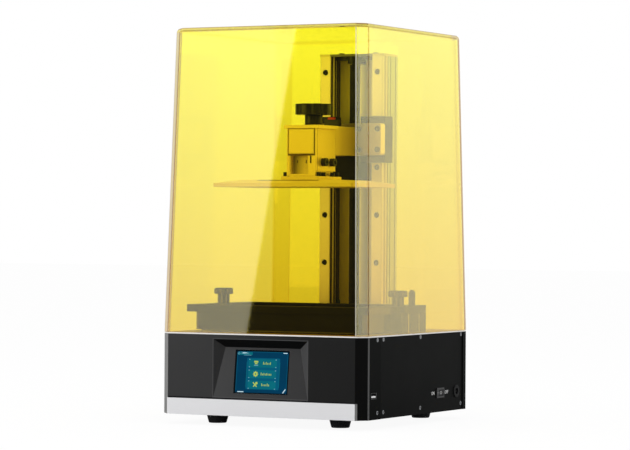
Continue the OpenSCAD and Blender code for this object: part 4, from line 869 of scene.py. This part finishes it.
vat_plastic = finish("vat_black", (0.009, 0.009, 0.0095), 0.45, grain=0.0006, wear_and_edge_glint=1.7,
                     specular=0.12)
vat_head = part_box("vat")[1].z
# Painted highlights: light on the front end and three rib edges of its right side, on its left cut
# and along its rim
overlay(vat_plastic, (0.15, 0.12, 0.03), look_x=(0.8, None), y=(None, -52 * mm))
for low_y, high_y, level in ((-15.8, -13.2, 0.55), (25.5, 28.5, 0.30), (-52.0, -50.8, 0.20)):
    overlay(vat_plastic, (level, level * 0.9, level * 0.5), look_x=(0.8, None),
            y=(low_y * mm, high_y * mm), z=(None, vat_head - 9 * mm))
overlay(vat_plastic, (0.09, 0.06, 0.025), look_x=(-0.85, -0.25), look_y=(None, -0.4))
overlay(vat_plastic, (0.045, 0.038, 0.022), z=(vat_head - 0.8 * mm, vat_head))
frame_steel = finish("film_steel", (0.10, 0.09, 0.07), 0.45, metal=0.6, grain=0.0007)
wear(vat_plastic, "vat", "vat_brackets")
wear(frame_steel, "film_frame")


def glancing(tree, least, most=1.0):
    """The share a clear sheet mirrors: least seen straight on, growing to the grazing angle."""
    facing = add(tree, "LayerWeight", Blend=0.5).outputs["Facing"]
    growth = calc(tree, "MULTIPLY", calc(tree, "POWER", facing, 5.0), most)
    return calc(tree, "ADD", least, growth, clamp=True)


film_material, tree = blank_material("film_clear")
place = add(tree, "TexCoord").outputs["Object"]
ripple = add(tree, "TexNoise", Vector=place, Scale=25.0, Detail=1.0).outputs[0]
wave = add(tree, "Bump", Height=ripple, Distance=0.0006, Strength=0.4).outputs[0]
veil = add(tree, "BsdfTransparent", Color=(0.93, 0.95, 0.97, 1))
gloss = add(tree, "BsdfGlossy", Color=(1, 1, 1, 1), Roughness=0.08, Normal=wave)
show(tree, mixed(tree, glancing(tree, 0.06), veil, gloss))
wear(film_material, "vat_film")

# ---------------------------------------------------------------- cover
# One see-through cover of tinted acrylic, formed with leaning walls, cut corners and round
# top edges. Its walls, cuts and edges are painted in tints of their own as light and shade,
# the edges darker, where the eye looks along the sheet.

cover_round, cover_thickness, fold_round = 5 * mm, 3 * mm, 0.7 * mm
cover_middle, cover_size = (cover_low + cover_high) / 2, cover_high - cover_low

cover = begin(bpy.ops.mesh.primitive_cube_add, size=1, location=cover_middle)
cover.name = "cover_shell"
cover.scale = cover_size
bpy.ops.object.transform_apply()
bpy.ops.object.mode_set(mode="EDIT")
pick("VERT", lambda ends: ends[0].z > cover_middle.z)
bpy.ops.transform.resize(value=(1 - 2 * lean_side / cover_size.x,
                                1 - (lean_front + lean_rear) / cover_size.y, 1),
                         center_override=cover_middle)
bpy.ops.transform.translate(value=(0, (lean_front - lean_rear) / 2, 0))
for front, cut in ((True, front_cut), (False, rear_cut)):
    pick("EDGE", lambda ends: abs(ends[0].z - ends[1].z) > cover_size.z / 2
         and (ends[0].y < cover_middle.y) == front)
    bpy.ops.mesh.bevel(offset=cut, segments=1, affect="EDGES", clamp_overlap=False)
pick("EDGE", lambda ends: min(end.z for end in ends) > cover_high.z - near)
bpy.ops.mesh.bevel(offset=cover_round, segments=5, affect="EDGES", clamp_overlap=False)
pick("FACE", lambda ends: max(end.z for end in ends) < cover_low.z + near)
bpy.ops.mesh.delete(type="FACE")
bpy.ops.mesh.select_mode(type="EDGE")
bpy.ops.mesh.select_all(action="DESELECT")
bpy.ops.mesh.edges_select_sharp(sharpness=radians(22))
bpy.ops.mesh.bevel(offset=fold_round, segments=3, affect="EDGES", clamp_overlap=False)
bpy.ops.object.mode_set(mode="OBJECT")
shaped(cover, "SOLIDIFY", thickness=cover_thickness, offset=-1, use_even_offset=True)
bpy.ops.object.shade_smooth_by_angle(angle=radians(30))
shaped(cover, "WEIGHTED_NORMAL", weight=100)


def tinted_wall(name, high_tint, low_tint, haze=(0, 0, 0), haze_share=0.0, mirror=1.0,
                brown_band=0.0):
    """Tinted acrylic: what lies behind is seen through the tint, and the surface mirrors a
    share that grows to the grazing angle. As painted shade the tint deepens from the top to the
    foot, and turns brown in a painted band before the rear corner, where the eye looks along the
    sheet."""
    material, tree = blank_material("cover_" + name)
    climb = ramp(tree, along(tree, "Z"), cover_low.z, cover_high.z)
    tint = tinted(tree, climb, (*low_tint, 1), (*high_tint, 1))
    if brown_band:
        corner = calc(tree, "SUBTRACT", cover_high.y - rear_cut - brown_band,
                      calc(tree, "MULTIPLY", climb, lean_rear))
        outside = calc(tree, "SUBTRACT", cover_high.x - cover_thickness / 2,
                       calc(tree, "MULTIPLY", climb, lean_side))
        banded = inside(tree, y=(corner, None), x=(outside, None))
        tint = tinted(tree, banded, tint, (0.44, 0.28, 0.20, 1))
    body = add(tree, "BsdfTransparent", Color=tint)
    if haze_share:
        body = mixed(tree, haze_share, body, add(tree, "BsdfDiffuse", Color=(*haze, 1)))
    gloss = add(tree, "BsdfGlossy", Color=(1, 1, 1, 1), Roughness=0.02)
    show(tree, mixed(tree, calc(tree, "MULTIPLY", glancing(tree, 0.04, 0.96), mirror), body, gloss))
    return material


# Nine tints of one acrylic, set by wall, cut and edge: painted light and shade; bright_edge is a
# painted highlight
tints = [
    tinted_wall("tint", (0.985, 0.965, 0.389), (0.915, 0.838, 0.319)),
    tinted_wall("side_tint", (1.0, 0.985, 0.60), (0.97, 0.85, 0.36), (1.0, 0.86, 0.22), 0.10,
                brown_band=5.4 * mm),
    tinted_wall("left_tint", (0.965, 0.955, 0.63), (0.935, 0.865, 0.62), mirror=0.35),
    tinted_wall("edge_tint", (0.66, 0.46, 0.26), (0.66, 0.44, 0.26)),
    tinted_wall("outline_tint", (0.50, 0.34, 0.24), (0.48, 0.32, 0.22), mirror=0.1),
    tinted_wall("bright_edge", (0.98, 0.92, 0.60), (0.95, 0.88, 0.55), (1.0, 0.95, 0.80), 0.55),
    tinted_wall("left_cut_tint", (0.74, 0.64, 0.52), (0.72, 0.60, 0.48), mirror=0.6),
    tinted_wall("rear_cut_tint", (1.0, 0.95, 0.36), (0.88, 0.75, 0.24), mirror=0.3),
    tinted_wall("round_tint", (0.82, 0.74, 0.55), (0.82, 0.74, 0.55), mirror=0.5)]
settle(cover, "lid", "cover_tint", *tints)
(plain_tint, side_tint, left_tint, edge_tint, outline_tint, highlight_tint,
 left_cut_tint, rear_tint, round_tint) = range(len(tints))
wall_area, highlight_width, top_width = 0.001, 2.5 * mm, lean_rear + 1.3 * rear_cut
for face in cover.data.polygons:
    middle, normal = face.center, face.normal
    climb = (middle.z - cover_low.z) / cover_size.z
    right_wall = cover_high.x - lean_side * climb
    at_front = middle.y < cover_low.y + lean_front + 2 * front_cut
    at_rear = middle.y > cover_high.y - lean_rear * climb - cover_round - 2 * mm
    tint = plain_tint
    if abs(normal.x) > 0.9:
        tint = side_tint if middle.x > 0 else left_tint
    if face.area > wall_area:
        if abs(normal.x) > 0.3 and abs(normal.y) > 0.3:
            if middle.y < 0 and middle.x < 0:
                tint = left_cut_tint
            elif middle.y > 0 and normal.y * (middle.y - cover_middle.y) > 0:
                tint = rear_tint
    elif middle.z > cover_high.z - cover_round:
        # The rounding is painted brown along the front and the right, where its outline shows
        tint = rear_tint if at_rear or (middle.x < 0 and not at_front) else round_tint
        if tint == round_tint and abs(normal.z) > 0.72 and middle.y < cover_high.y - top_width:
            tint = outline_tint
    # A strip beside the front cut takes the painted highlight
    elif abs(middle.x - right_wall + front_cut) < highlight_width and at_front and abs(normal.z) < 0.3:
        tint = highlight_tint
    elif at_front:
        tint = outline_tint if middle.x < 3 * mm - right_wall else edge_tint
    else:
        tint = outline_tint if middle.x > right_wall - cover_thickness / 2 else rear_tint
    face.material_index = tint
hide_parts("lid")
